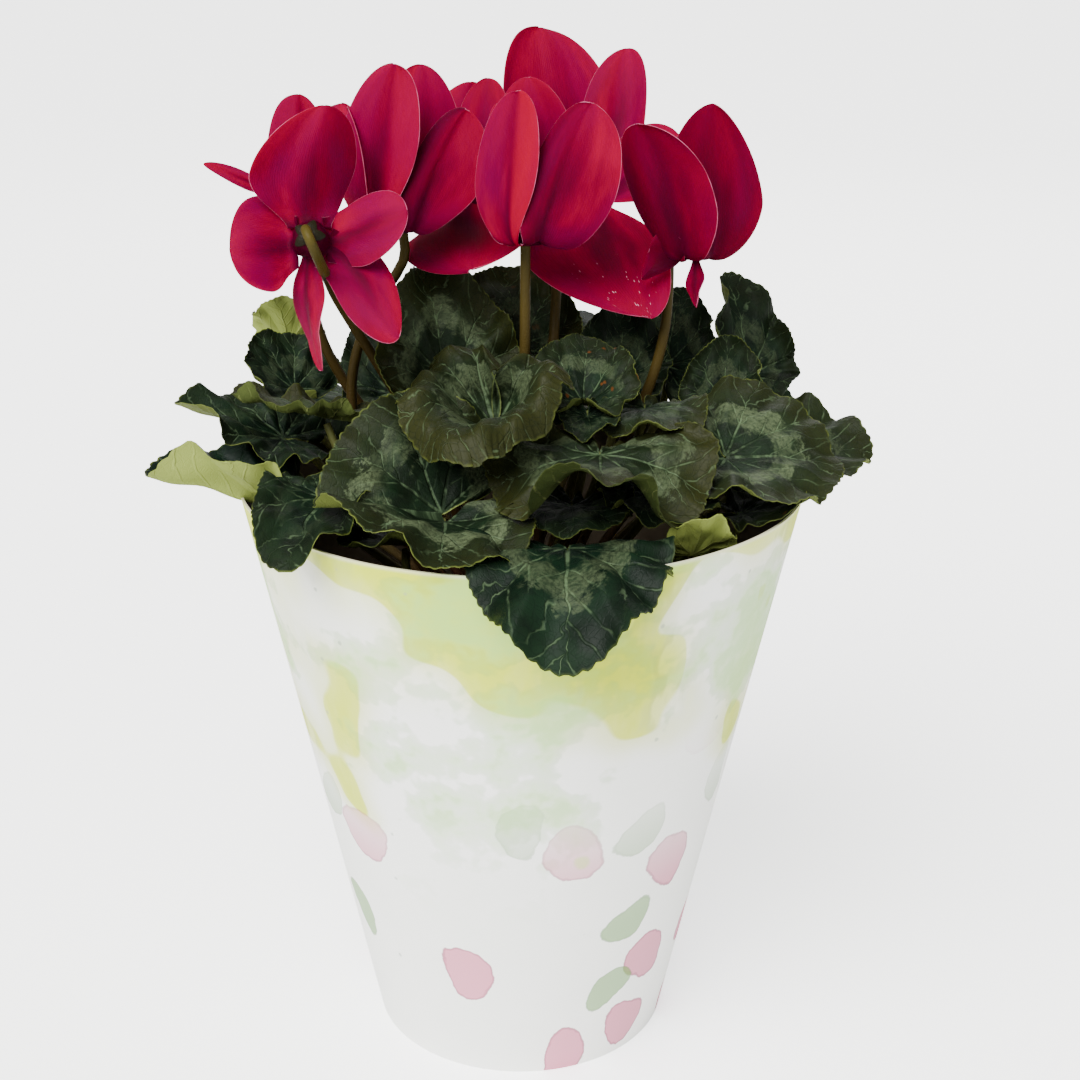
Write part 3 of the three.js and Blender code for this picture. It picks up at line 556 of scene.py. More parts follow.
LOOKS = {  # silver marbling, pale margin, brown spots, olive tone, and the margin's curl in mm
    "front_left": (1.0, 0.5, 0, 0.3, 0.5), "front_hanging": (0.6, 0.1, 0, -0.2, -0.5),
    "front_middle": (0.7, 0.05, 0, 0.8, 1.5), "front_inner": (0.4, 0.4, 0, 0.5, 1.5),
    "front_right": (0.9, 0.4, 0, 0.4, 1.0), "left_small": (0.2, 1.0, 0, 1.0, 0.0),
    "left_edge": (0.4, 0.15, 0, 0.9, 2.0), "left_low": (0.15, 0.5, 0, 0.0, 0.0),
    "left": (0.2, 0.9, 0, -0.4, 0.0), "left_upper": (0.2, 0.5, 0, 0.0, 0.0),
    "middle_funnel": (0.8, 0.15, 0, 0.8, -6), "middle_cupped": (0.6, 0.3, 1.0, 0.2, 0.8),
    "behind_middle": (0.5, 0.6, 0.3, 0.8, 2.0), "right_curled": (0.1, 1.0, 0, 0.3, 0.0),
    "right_rim": (0.2, 0.4, 0.6, 0.3, 1.0), "left_upright": (0.4, 0.5, 0, 0.0, 1.5),
    "middle_tall": (0.8, 0.3, 0, 0.6, 2.0), "right_inner": (0.5, 0.4, 0, 0.1, 1.0),
    "right": (0.5, 0.5, 0, 0.3, 1.0), "right_tall": (0.4, 0.3, 0, 0.1, 1.0),
    "back_left": (0.3, 0.3, 0, 0.0, -9),
}
PLAIN_LOOK = (0.5, 0.3, 0, 0.0, 0.6)
FULL_BACKS = {"left_edge": 0.7, "left_upper": 0.5, "middle_dark": 0.6, "back_left": 0.8,
              "right_dark": 0.95, "right_inner": 0.55}
for name, back in FULL_BACKS.items():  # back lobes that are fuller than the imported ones
    LEAVES[name]["back"] = back
print("leaves:", len(LEAVES))

# %% [markdown]
# The blade's middle surface is a formula of two numbers: an angle from the midrib, and a share of
# the way out to the edge. The heart outline sets how far out the edge is. Arcs then bend that flat
# shape, so lengths along it are kept, as in a real leaf that grows flat and then droops.

# %% The shape of a leaf
LEAF_BACK = 0.6
PLAIN_WAVE = (0.05, 4, 0)
SINUS = 9 * DEGREE
TEETH = 76
TOOTH_DEPTH = 0.022


def leaf_outline(angle, wide, back):
    """The length of a blade toward an angle from its midrib, over the length to the tip."""
    along = np.cos(angle) / np.where(np.cos(angle) < 0, back, 1)
    oval = 1 / np.hypot(along, np.sin(angle) / wide)
    point = 1 + 0.07 * np.exp(-((angle / 0.25) ** 2))
    notch = 1 - 0.75 * np.exp(-(((np.pi - np.abs(angle)) / 0.35) ** 2))
    return oval * point * notch


def toothed(angle, share):
    """The fine scallops of the edge, which die out toward the stem."""
    saw = np.abs(np.sin(angle * TEETH / 2)) - 0.6
    return 1 + TOOTH_DEPTH * saw * smoothstep(share, 0.8, 1) * smoothstep(np.pi - np.abs(angle), 0.1, 0.5)


def arc(distance, slope, gain):
    """Where a line gets to that starts at one slope and steepens evenly."""
    gain = np.where(np.abs(gain) < 1e-6, 1e-6, gain)
    turned = slope + gain * distance
    out = (np.sin(turned) - np.sin(slope)) / gain
    up = (np.cos(slope) - np.cos(turned)) / gain
    return out, up, turned


def leaf_frame(leaf):
    """A blade's place, and its own directions: along, left and up."""
    origin = Vector(leaf["at"])
    along = (Vector(leaf["tip"]) - origin).normalized()
    left = Vector((0, 0, 1)).cross(along).normalized()
    left = Matrix.Rotation(leaf.get("roll", 0) * DEGREE, 3, along) @ left
    return [np.array(v) for v in (origin, along, left, along.cross(left))]


def leaf_length(leaf):
    chord = (Vector(leaf["tip"]) - Vector(leaf["at"])).length
    half = leaf.get("bend", 0) * DEGREE / 2
    return chord if abs(half) < 1e-6 else chord * half / math.sin(half)


def leaf_points(leaf, angle, share):
    """Points of a blade's middle surface."""
    origin, along, left, up = leaf_frame(leaf)
    wide, length = leaf["wide"], leaf_length(leaf)
    half = leaf.get("bend", 0) * DEGREE / 2
    swing_size, swings, phase = leaf.get("wave", PLAIN_WAVE)
    reach = leaf_outline(angle, wide, leaf.get("back", LEAF_BACK)) * length * toothed(angle, share)
    spread, raised, _ = arc(share, 0, leaf.get("funnel", 0) * DEGREE)
    fade = share ** 2 * np.cos(angle / 2) ** 2
    swing = swing_size * length * fade * np.sin(swings * angle + phase * DEGREE)
    fold, cup = (np.where(angle < 0, pair[1], pair[0]) * DEGREE
                 for pair in (leaf.get("fold", (0, 0)), leaf.get("cup", (0, 0))))
    across = np.abs(np.sin(angle)) * spread * reach
    out, rise, turned = arc(across, fold, cup / (wide * length))
    lift = raised * reach + swing
    sideways = (out - lift * np.sin(turned)) * np.where(angle < 0, -1, 1)
    height = rise + lift * np.cos(turned)
    run, drop, slope = arc(np.cos(angle) * spread * reach, -half, 2 * half / length)
    return (origin + along * (run + height * np.sin(slope))[..., None]
            + up * (height * np.cos(slope) - drop)[..., None] + left * sideways[..., None])


print("length of the front left blade in mm:", round(leaf_length(LEAVES["front_left"]), 1))

# %% [markdown]
# A living blade isn't smooth. It is quilted: sunk a little along its nine main veins and raised
# between them. Its margin ruffles, and on many leaves it curls up and shows its pale underside.
# This relief is pushed out along the surface's own directions after the main shape is made.

# %% Relief of a leaf, and the whole piece
VEIN_STEP = 35.5 * DEGREE
LEAF_RAYS = 240
LEAF_RINGS = 17
LEAF_THICKNESS = 0.5
HOLLOWS = {  # how far a blade's middle sinks where the stem meets it, in mm
    "middle_funnel": 15, "front_left": 6, "middle_cupped": 5, "front_right": 4, "middle_tall": 4,
}
PLAIN_HOLLOW = 1.5
PETIOLE_RADII = (1.7, 1.25)
PETIOLE_SIDES = 12
PETIOLE_GAP = 1.9  # from the blade's middle to the end of its stem
INNERMOST = 0.003  # the share at which a blade's grid starts
QUILT_DEPTH = 0.095  # this and the next three are shares of the blade's length
RUFFLE_DEPTH = 0.062
PLEAT_DEPTH = 0.075
DENT_DEPTH = 0.028


def leaf_relief(leaf, seed, curl, hollow, angle, share):
    """How far a blade's points stand off its plain surface, in millimetres."""
    length = leaf_length(leaf)
    off_vein = np.abs(angle / VEIN_STEP - np.round(angle / VEIN_STEP)) * 2
    radius = share * length
    quilt = QUILT_DEPTH * radius * (off_vein ** 1.3 - 0.45) * smoothstep(share, 0.1, 0.35)
    ruffle = RUFFLE_DEPTH * length * share ** 3 * (
        np.sin(9 * angle + seed * 3) + 0.6 * np.sin(16 * angle + seed * 7))
    pleats = PLEAT_DEPTH * length * share ** 2 * np.sin(3 * angle + 2 * seed)
    dents = DENT_DEPTH * length * np.sin(14 * share + 5 * angle + seed) * np.sin(6 * angle - seed * 2)
    keep = smoothstep(np.pi - np.abs(angle), 0.0, 0.5)
    folds = (quilt + (ruffle + pleats) * keep + dents * share) * 0.8
    return folds + curl * smoothstep(share, 0.82, 1) ** 2 - hollow * (1 - smoothstep(share, 0, 0.7))


def build_leaf(name, leaf, seed):
    """A leaf's blade and the stem that carries it, as one piece."""
    silver, pale, spots, olive, curl = LOOKS.get(name, PLAIN_LOOK)
    hollow = HOLLOWS.get(name, PLAIN_HOLLOW)
    angle = np.linspace(SINUS - np.pi, np.pi - SINUS, LEAF_RAYS)[None, :]
    share = np.linspace(INNERMOST, 1, LEAF_RINGS)[:, None] ** 0.9
    angle, share = np.broadcast_arrays(angle, share)
    grid = leaf_points(leaf, angle, share)
    grid = grid + grid_normals(grid) * leaf_relief(leaf, seed, curl, hollow, angle, share)[..., None]
    points, faces = closed_sheet(grid, LEAF_THICKNESS * (1 - 0.6 * share ** 8))
    reach = leaf_outline(angle, leaf["wide"], leaf.get("back", LEAF_BACK)) * share
    flat = np.stack([np.cos(angle) * reach, np.sin(angle) * reach, share], -1).reshape(-1, 3)
    sides = np.repeat([[1.0, seed, olive], [0.0, seed, olive]], len(flat), axis=0)
    piece = Piece()
    piece.add(points, faces, blade=np.tile(flat, (2, 1)), side=sides, look=(silver, pale, spots))
    origin, along, _, upward = leaf_frame(leaf)
    arrival = 0.85 * upward + 0.5 * along
    arrival = arrival / np.linalg.norm(arrival)
    end = origin - (hollow + PETIOLE_GAP) * upward
    path = stem_path("leaf_" + name, end, arrival, leaf.get("lean", (0, 0, 0)))
    piece.add_stem(path, PETIOLE_RADII, PETIOLE_SIDES, 1)
    return piece


print("points in each blade:", 2 * LEAF_RAYS * LEAF_RINGS)

# %% [markdown]
# The marbling of a cyclamen leaf follows its veins. Nine pale veins leave the stem and fork toward
# the edge, and a silver zone lies half way out, broken up between them. The pattern is drawn in
# the leaf's own flat coordinates, which every point carries, so it bends with the blade. A vein is
# the distance to the nearest of nine directions, and its branches are slanting stripes beside it.

# %% The effect that draws veins
def vein_effect():
    graph, given, out = effect("leaf veins", ["Blade", "Seed"], ["Main", "Branches", "Net"])
    place = graph.moved(given["Blade"], graph.join(given["Seed"], given["Seed"], given["Seed"]))
    x, y, share = graph.split(given["Blade"])
    wobble = graph.drift(0.35, place, 3.5, 3.0)
    angle = graph.plus(graph.math("ARCTAN2", y, x), graph.times(wobble, share))
    off = graph.times(graph.off_whole(graph.math("DIVIDE", angle, VEIN_STEP)), VEIN_STEP)
    radius = graph.math("SQRT", graph.plus(graph.times(x, x), graph.times(y, y)))
    aside = graph.size(graph.times(radius, graph.math("SINE", off)))
    width = graph.step(share, 0.0, 1.0, 0.022, 0.006)
    run = graph.times(radius, graph.math("COSINE", off))
    slant = graph.minus(run, graph.times(aside, 1.25))
    rows = graph.plus(graph.math("DIVIDE", slant, 0.19), graph.times(wobble, 3.0))
    branches = graph.step(graph.size(graph.off_whole(rows)), 0.02, 0.09, 1.0, 0.0)
    spread = graph.math("DIVIDE", aside, graph.math("MAXIMUM", radius, 0.01))
    near = graph.step(spread, 0.12, 0.3, 1.0, 0.35)
    net = graph.cells(place, 17.0, "DISTANCE_TO_EDGE").outputs["Distance"]
    graph.fill(out, {
        "Main": graph.step(graph.math("DIVIDE", aside, width), 0.35, 1.0, 1.0, 0.0),
        "Branches": graph.times(branches, near, graph.step(share, 0.15, 0.4)),
        "Net": graph.step(net, 0.0, 0.09, 1.0, 0.0),
    })
    return graph.tree


veins = vein_effect()
print("vein outputs:", [s.name for s in veins.interface.items_tree if s.in_out == "OUTPUT"])

# %% [markdown]
# The upper face is dark blue-green with a soft waxy gloss, and grey-green where it is marbled. The
# underside is dull and pale, and so is the thin edge. All of it is one material: a fact on the
# points says which face a point is on, and the veins stand up below and sink above.

# %% Leaf finish
def leaf_finish():
    material, graph, shader = finish("leaf")
    blade = graph.fact("blade")
    upper, seed, olive = graph.split(graph.fact("side"))
    silver, pale, spots = graph.split(graph.fact("look"))
    share = graph.split(blade)[2]
    vein = graph.group(veins, Blade=blade, Seed=seed)
    skin = graph.group(
        tissue, Vector=graph.moved(blade, graph.join(seed, 0.0, seed)), Coarse=4.0, Fine=95.0)

    # the silver zone, crumbled and patchy, and the pale lines
    place = graph.moved(blade, graph.join(seed, seed, 0.0))
    ragged = graph.drift(0.62, place, 6.0, 6.0, 0.7)
    out = graph.plus(share, ragged, graph.step(seed, 0.0, 6.0, -0.06, 0.09))
    zone = graph.times(graph.step(out, 0.38, 0.5), graph.step(out, 0.64, 0.69, 1.0, 0.0))
    crumbled = graph.step(graph.noise(place, 26.0, 4.0, 0.7), 0.38, 0.56, 0.4, 1.0)
    patches = graph.step(graph.noise(place, 2.6, 2.0), 0.34, 0.5, 0.2, 1.0)
    marbled = graph.times(zone, crumbled, patches, silver)
    broken = graph.step(graph.noise(place, 8.0, 3.0), 0.42, 0.6, 0.12, 1.0)
    lines = graph.times(
        graph.math("MAXIMUM", vein["Main"], graph.times(vein["Branches"], 0.75)), broken)

    # the tan toward the edge, the thin edge itself, and rusty spots
    far_out = graph.step(graph.plus(share, graph.times(ragged, 0.6)), 0.5, 0.95, 0.3, 1.0)
    tanned = graph.times(graph.step(olive, -0.5, 1.0), far_out)
    nibbled = graph.step(graph.noise(place, 12.0, 2.0), 0.4, 0.6, 0.15, 1.0)
    edge = graph.times(
        graph.step(share, 0.982, 0.998), graph.plus(graph.times(pale, 0.4), 0.06), nibbled)
    rust = graph.group(flecks, Vector=blade, Scale=5.0, Share=0.22, Size=0.24)["Mask"]

    top = graph.coats(
        graph.between(skin["Blotches"], 0x040E09, 0x0A1C10),
        (tanned, 1, 0x20220C), (marbled, 0.8, 0x465038), (vein["Net"], 0.3, 0x060F09),
        (lines, 0.36, 0x5C7050), (edge, 1, 0x7C8838), (rust, spots, 0x4A2A10))
    below = graph.coats(
        graph.between(skin["Blotches"], 0x1A2410, 0x2C3618),
        (pale, 0.9, 0x869248), (lines, 0.3, 0x98A060))
    ridges = graph.plus(vein["Main"], graph.times(vein["Branches"], 0.6))
    relief = graph.plus(graph.times(ridges, graph.step(upper, 0.0, 1.0, 1.0, -1.0)),
                        graph.times(vein["Net"], -0.1), graph.times(skin["Grain"], 0.12))
    graph.fill(shader, {
        "Base Color": graph.mix(upper, below, top),
        "Roughness": graph.plus(graph.step(skin["Blotches"], 0.0, 1.0, 0.42, 0.54),
                                graph.times(graph.minus(1.0, upper), 0.2)),
        "Specular IOR Level": 0.06,
        "Normal": graph.bump(relief, 0.7, 0.0006),
    })
    return material


def stem_finish(name, foot_colour, end_colour):
    """A round stem: reddish at the foot, greener above, with darker blotches."""
    material, graph, shader = finish(name)
    skin = graph.group(tissue, Vector=graph.object_place(), Coarse=90.0, Fine=1800.0)
    share, sepal, _ = graph.split(graph.fact("up"))
    graph.fill(shader, {
        "Base Color": graph.coats(
            graph.between(graph.step(share, 0.1, 0.9), foot_colour, end_colour),
            (skin["Blotches"], 0.3, 0x241F10), (sepal, 0.9, 0x090A05)),
        "Roughness": 0.5,
        "Specular IOR Level": 0.08,
        "Normal": graph.bump(skin["Grain"], 0.4, 0.0002),
    })
    return material


leaf_material = leaf_finish()
petiole_material = stem_finish("leaf stem", 0x44201A, 0x4C4E28)
print("leaf finishes:", [leaf_material.name, petiole_material.name])

# %% Make the leaves
for number, (name, leaf) in enumerate(LEAVES.items()):
    seed = (number * 0.618) % 1 * 6
    build_leaf(name, leaf, seed).make(
        "foliage_" + name, [leaf_material, petiole_material], "leaf", "leaf_" + name)

# %% [markdown]
# A cyclamen bloom hangs upside down. Its short tube points down, and five petals turn back from
# the tube's mouth and stand up. Each row below holds the mouth, how far the tube leans and toward
# where, the side that the stalk comes up, and five petals. A petal is its azimuth, its angle off
# the tube, its length, its half width and its twist.

# %% The blooms, by where they stand
BLOOMS = {
    "left": dict(mouth=(-61, -27, 273), tilt=(65, -90), stalk=-67, lean=(0, -12, 0), petals=(
        (90, 64, 35, 16, 0), (182, 72, 18, 12, 0), (262, 84, 38, 7.5, 88),
        (-25, 72, 34, 10, 0), (8, 80, 24, 8, 0))),
    "left_behind": dict(mouth=(-68, 22, 279), tilt=(20, 60), stalk=-45, lean=(-10, 14, 0), petals=(
        (120, 26, 35, 9, 0), (70, 18, 32, 11, 0), (175, 85, 30, 5, 85),
        (-102, 30, 22, 8, 0), (12, 30, 22, 8, 0))),
    "left_tall": dict(mouth=(-37, 0, 271), tilt=(6, 90), stalk=90, lean=(-36, 0, 0), petals=(
        (-100, 14, 50, 17, 0), (-40, 33, 41, 13, -20), (28, 20, 36, 11, 0),
        (152, 15, 38, 11, 0), (200, 18, 38, 11, 0))),
    "behind": dict(mouth=(-16, 33, 273), tilt=(10, 90), stalk=-153, lean=(-6, 0, 0), petals=(
        (125, 14, 40, 12, 0), (78, 8, 40, 10, 0), (-100, 122, 36, 16, 0),
        (10, 24, 20, 9, 0), (155, 30, 28, 8, 0))),
    "centre": dict(mouth=(1, -14, 270), tilt=(6, 90), stalk=90, petals=(
        (-98, 14, 49, 15, 0), (-44, 28, 46, 17, -15), (28, 20, 38, 11, 0),
        (152, 15, 40, 11, 0), (200, 18, 38, 11, 0))),
    "top": dict(mouth=(21, 34, 276), tilt=(10, 90), stalk=178, petals=(
        (118, 26, 60, 20, 0), (52, 21, 50, 12, 0), (-10, 55, 26, 13, 80),
        (-85, 138, 55, 16, 0), (-138, 40, 30, 9, 0))),
    "right": dict(mouth=(53, 0, 263), tilt=(6, 90), stalk=140, petals=(
        (-130, 30, 46, 14, 0), (-50, 14, 47, 17, 0), (70, 14, 36, 11, 0),
        (-150, 80, 13, 9, 80), (-90, 155, 19, 4, 70))),
}
print("petals:", sum(len(bloom["petals"]) for bloom in BLOOMS.values()))

# %% [markdown]
# A petal starts narrow at the mouth, dips below it and sweeps back up, widest past its middle, and
# ends round. Its midrib is a Bezier curve, and a crosswise direction is carried along it so that
# the petal can twist. One half rolls in and the other rolls out, as petals do that were wound round
# each other in the bud. `PETAL_FORMS` holds what sets the front petals apart, by bloom and number:
# the rolls of the left and right half, the sway of the tip and the bulge of the middle sideways,
# how pointed the tip and how wide the neck is, and how much longer, wider, further turned and
# splayed it is than the imported one; lean makes one half wider than the other, and slant narrows
# the right half toward the root. A table of painted light below says whose right half gets a
# painted highlight, above zero, or whose left half gets painted shadow, below zero.

# %% The shape of a petal
MOUTH_RADIUS = 5.2
TUBE_LENGTH = 8
PETAL_ROWS = 56
PETAL_COLUMNS = 31
PETAL_THICKNESS = 0.45
PETAL_CHANNEL = 0.2  # depth of the groove along the middle, over the half width
PLAIN_WIDTH = 15  # half a plain petal's width and its length, which the finish is scaled to
PLAIN_LENGTH = 40
TUBE_PROFILE = ((0.4, 3.2), (2.6, 1.0), (3.6, 0.1), (4.6, -0.1), (5.2, 0.5), (5.5, 2.2),
                (5.3, 4.2), (4.7, 6.2), (4.0, 7.6), (2.4, 8.2), (0.4, 8.3))
TUBE_COLUMNS = 30
PETAL_DIP = 6  # how far a petal's first stretch points down, before it turns back
PETAL_WAVE = 0.05
PLAIN_FORM = dict(left=24, right=-22, sway=0, bulge=0, point=0.1, neck=0.26, stretch=1, widen=1.08,
                  turn=0, lean=0, slant=0, splay=0)
PETAL_FORMS = {
    ("left", 0): dict(left=-46, right=26, sway=-5, bulge=2, point=0.4, neck=0.4, widen=1, lean=0.1),
    ("left", 1): dict(left=-20, right=30, sway=2, point=0, neck=0.5, stretch=1.1, widen=1.28),
    ("left", 2): dict(left=10, right=10, sway=8, point=0, stretch=0.86, widen=1.1, turn=-15, splay=12),
    ("left", 3): dict(left=20, right=-35, sway=-15, point=0.3, neck=0.6, stretch=0.92, widen=1.05, splay=15),
    ("left", 4): dict(left=15, right=-20, sway=4, point=0, neck=0.62, stretch=1.05, widen=1.35),
    ("left_tall", 0): dict(left=36, right=-40, sway=3, bulge=-5, point=0, widen=0.86, slant=0.9),
    ("left_tall", 1): dict(left=60, right=-34, bulge=-5, point=0, neck=0.65, stretch=1.04, widen=0.9,
                           turn=-24, lean=0.3, slant=0.7),
    ("left_tall", 2): dict(stretch=1.35, widen=1.2, turn=62, splay=-16),
    ("left_behind", 2): dict(left=4, right=4, sway=-1, point=0.4, widen=0.55),
    ("behind", 0): dict(left=30, right=-40, sway=-8, point=0, widen=1.1),
    ("behind", 1): dict(sway=-3),
    ("behind", 2): dict(left=-30, right=25, sway=7, point=0.2, stretch=1.05, widen=1.4),
    ("centre", 0): dict(left=34, right=-40, bulge=-4, point=0, stretch=0.92, widen=0.7, slant=0.8),
    ("centre", 1): dict(left=60, right=-24, bulge=-4, point=0, neck=0.65, widen=0.8, turn=-30, lean=0.28,
                        slant=0.2),
    ("centre", 2): dict(stretch=1.25, widen=1.2, turn=62, splay=-24),
    ("centre", 3): dict(widen=0.75, splay=-8),
    ("centre", 4): dict(widen=0.6, splay=-14),
    ("top", 0): dict(left=16, right=20, sway=1, point=0),
    ("top", 1): dict(left=18, right=22, point=0, widen=1.1),
    ("top", 2): dict(left=20, right=20, point=0, stretch=1.2, widen=1),
    ("top", 3): dict(left=-14, right=30, sway=15, point=0.5, neck=0.1, stretch=0.92, widen=1.4, lean=-0.25),
    ("right", 0): dict(left=34, right=-30, sway=-3, bulge=3, point=0, widen=1.05, turn=25, lean=0.15),
    ("right", 1): dict(left=40, right=-16, sway=-9, point=0.8, neck=0.14, widen=0.96, turn=-30, lean=-0.1),
    ("right", 2): dict(point=0.3, widen=1),
    ("right", 3): dict(left=20, right=20, point=0, widen=1.1),
    ("right", 4): dict(left=20, right=20, point=0.9, stretch=0.85, widen=1),
}
# painted light on petal halves: above zero a painted highlight on the right half, below zero painted shadow
# on the left half
PETAL_PAINTED_LIGHT = {("left_tall", 0): 0.3, ("centre", 0): 0.65, ("left_tall", 1): -1, ("centre", 1): -0.7,
               ("right", 1): -0.5, ("left", 0): -0.5, ("behind", 2): 0.4}
PETAL_PAINTED_SHADE = {"right": 0.55, "behind": 0.15, "left_behind": 0.1}  # painted shade: how much darker a bloom that stands in shadow is
DUSTY_PETALS = {("top", 3)}  # pollen has fallen on it


def bloom_frame(bloom):
    """The turn and place of a bloom, with its mouth at the origin and its tube up +Z."""
    lean, azimuth = bloom["tilt"]
    axis = Vector(math.sin(lean * DEGREE) * toward(azimuth)) + Vector((0, 0, math.cos(lean * DEGREE)))
    turn = Vector((0, 0, 1)).rotation_difference(axis).to_matrix().to_4x4()
    return Matrix.Translation(bloom["mouth"]) @ turn


def placed(points, matrix):
    """Points moved by a matrix."""
    table = np.array(matrix)
    return np.asarray(points) @ table[:3, :3].T + table[:3, 3]


def petal_width(share, point, neck):
    """The width of a petal along its length, over its full width."""
    opening = neck + (1 - neck) * smoothstep(share, 0, 0.6)
    past = np.maximum(share - 0.55, 0) / 0.45
    return opening * np.maximum(0, 1 - past ** (2.5 - 1.1 * point)) ** (0.5 + 0.2 * point)


def rolled(u, half, left, right):
    """A petal's cross-section: how far sideways and how far out of its plane each point lies."""
    angle = np.where(u < 0, left, right) * DEGREE
    turned = np.abs(u) * angle
    sideways = np.sign(u) * half * np.sin(turned) / angle
    return sideways, half * (1 - np.cos(turned)) / angle


def petal_midrib(petal, form, shares):
    """The points of a petal's midrib, its directions, and the crosswise direction at the root."""
    azimuth, splay, length, _, _ = petal
    splay, length = splay + form["splay"], length * form["stretch"]
    outward = toward(azimuth)
    heading = outward * math.sin(splay * DEGREE) + np.array([0, 0, math.cos(splay * DEGREE)])
    root = outward * (MOUTH_RADIUS - 1.2) + np.array([0, 0, 0.9])
    tip = root + heading * length
    midrib = bezier([root, root + outward * 0.2 * length + np.array([0, 0, -PETAL_DIP]),
                     tip - heading * 0.45 * length, tip], shares)
    tangents = np.gradient(midrib, axis=0)
    tangents /= np.linalg.norm(tangents, axis=1, keepdims=True)
    across = np.cross([0, 0, 1], outward)
    swayed = form["sway"] * shares ** 2 + form["bulge"] * np.sin(np.pi * shares)
    return midrib + np.outer(swayed, across), tangents, across


def petal_grid(petal, form, seed):
    """Points of a petal's middle surface, from root to tip and from edge to edge."""
    width, twist = petal[3], petal[4] + form["turn"]
    shares = np.sin(np.linspace(0, np.pi / 2, PETAL_ROWS)) ** 1.25 * 0.9995  # closer together at the tip
    midrib, tangents, across = petal_midrib(petal, form, shares)
    u = np.sin(np.linspace(-np.pi / 2, np.pi / 2, PETAL_COLUMNS))
    halves = width * form["widen"] * np.where(u < 0, 1 - form["lean"], 1 + form["lean"])
    slants = np.outer(1 - smoothstep(shares, 0.05, 0.75), np.where(u < 0, 0, form["slant"]))
    grid = []
    for centre, tangent, share, slant in zip(midrib, tangents, shares, slants):
        across = across - tangent * across.dot(tangent)
        across = across / np.linalg.norm(across)
        side = np.cross(tangent, across)
        turn = twist * DEGREE * min(1, 1.3 * share)
        lateral = across * math.cos(turn) + side * math.sin(turn)
        normal = np.cross(tangent, lateral)
        half = halves * (1 - slant) * petal_width(share, form["point"], form["neck"])
        open_share = smoothstep(share, 0.02, 0.4)
        sideways, bow = rolled(u, half, form["left"] * open_share + 1, form["right"] * open_share - 1)
        wave = PETAL_WAVE * width * np.abs(u) ** 3 * np.sin(8 * share + seed + 2 * u) * share
        channel = PETAL_CHANNEL * half * np.exp(-((u - 0.12 * np.sin(seed)) / 0.3) ** 2) * (1 - 0.6 * share)
        grid.append(centre + np.outer(sideways, lateral) + np.outer(bow + wave + channel, normal))
    return np.array(grid), u, shares


def build_corolla(name, bloom, seed):
    """The corolla: a short tube with a dark mouth, and five petals swept back from it."""
    matrix = bloom_frame(bloom)
    piece = Piece()
    for number, petal in enumerate(bloom["petals"]):
        key = (name, number)
        grid, u, shares = petal_grid(petal, PLAIN_FORM | PETAL_FORMS.get(key, {}), seed + number)
        thickness = PETAL_THICKNESS * (1 - 0.65 * np.maximum(np.abs(u)[None, :], shares[:, None]) ** 8)
        points, faces = closed_sheet(grid, thickness)
        share = np.repeat(shares, PETAL_COLUMNS)
        blade = np.stack([np.tile(u, PETAL_ROWS), share, np.full(share.shape, seed + number)], -1)
        piece.add(placed(points, matrix), faces, petal=np.tile(blade, (2, 1)),
                  form=(petal[3] / PLAIN_WIDTH, petal[2] / PLAIN_LENGTH, 0),
                  tone=(key in DUSTY_PETALS, PETAL_PAINTED_SHADE.get(name, 0), PETAL_PAINTED_LIGHT.get(key, 0)))
    profile = rounded_path(TUBE_PROFILE, 3)
    turn = circle(TUBE_COLUMNS)
    radius = profile[:, :1] * (1 + 0.05 * np.cos(5 * turn))
    points, faces = closed_rings(rings_about_axis(radius, turn, profile[:, 1:] + 0 * turn))
    # the tube takes painted shade of 0.6, as the heart of the bloom lies in shadow
    piece.add(placed(points, matrix), faces, petal=(0, 0.03, seed), form=(1, 1, 0), tone=(0, 0.6, 0))
    return piece


print("points in each petal:", 2 * PETAL_ROWS * PETAL_COLUMNS)
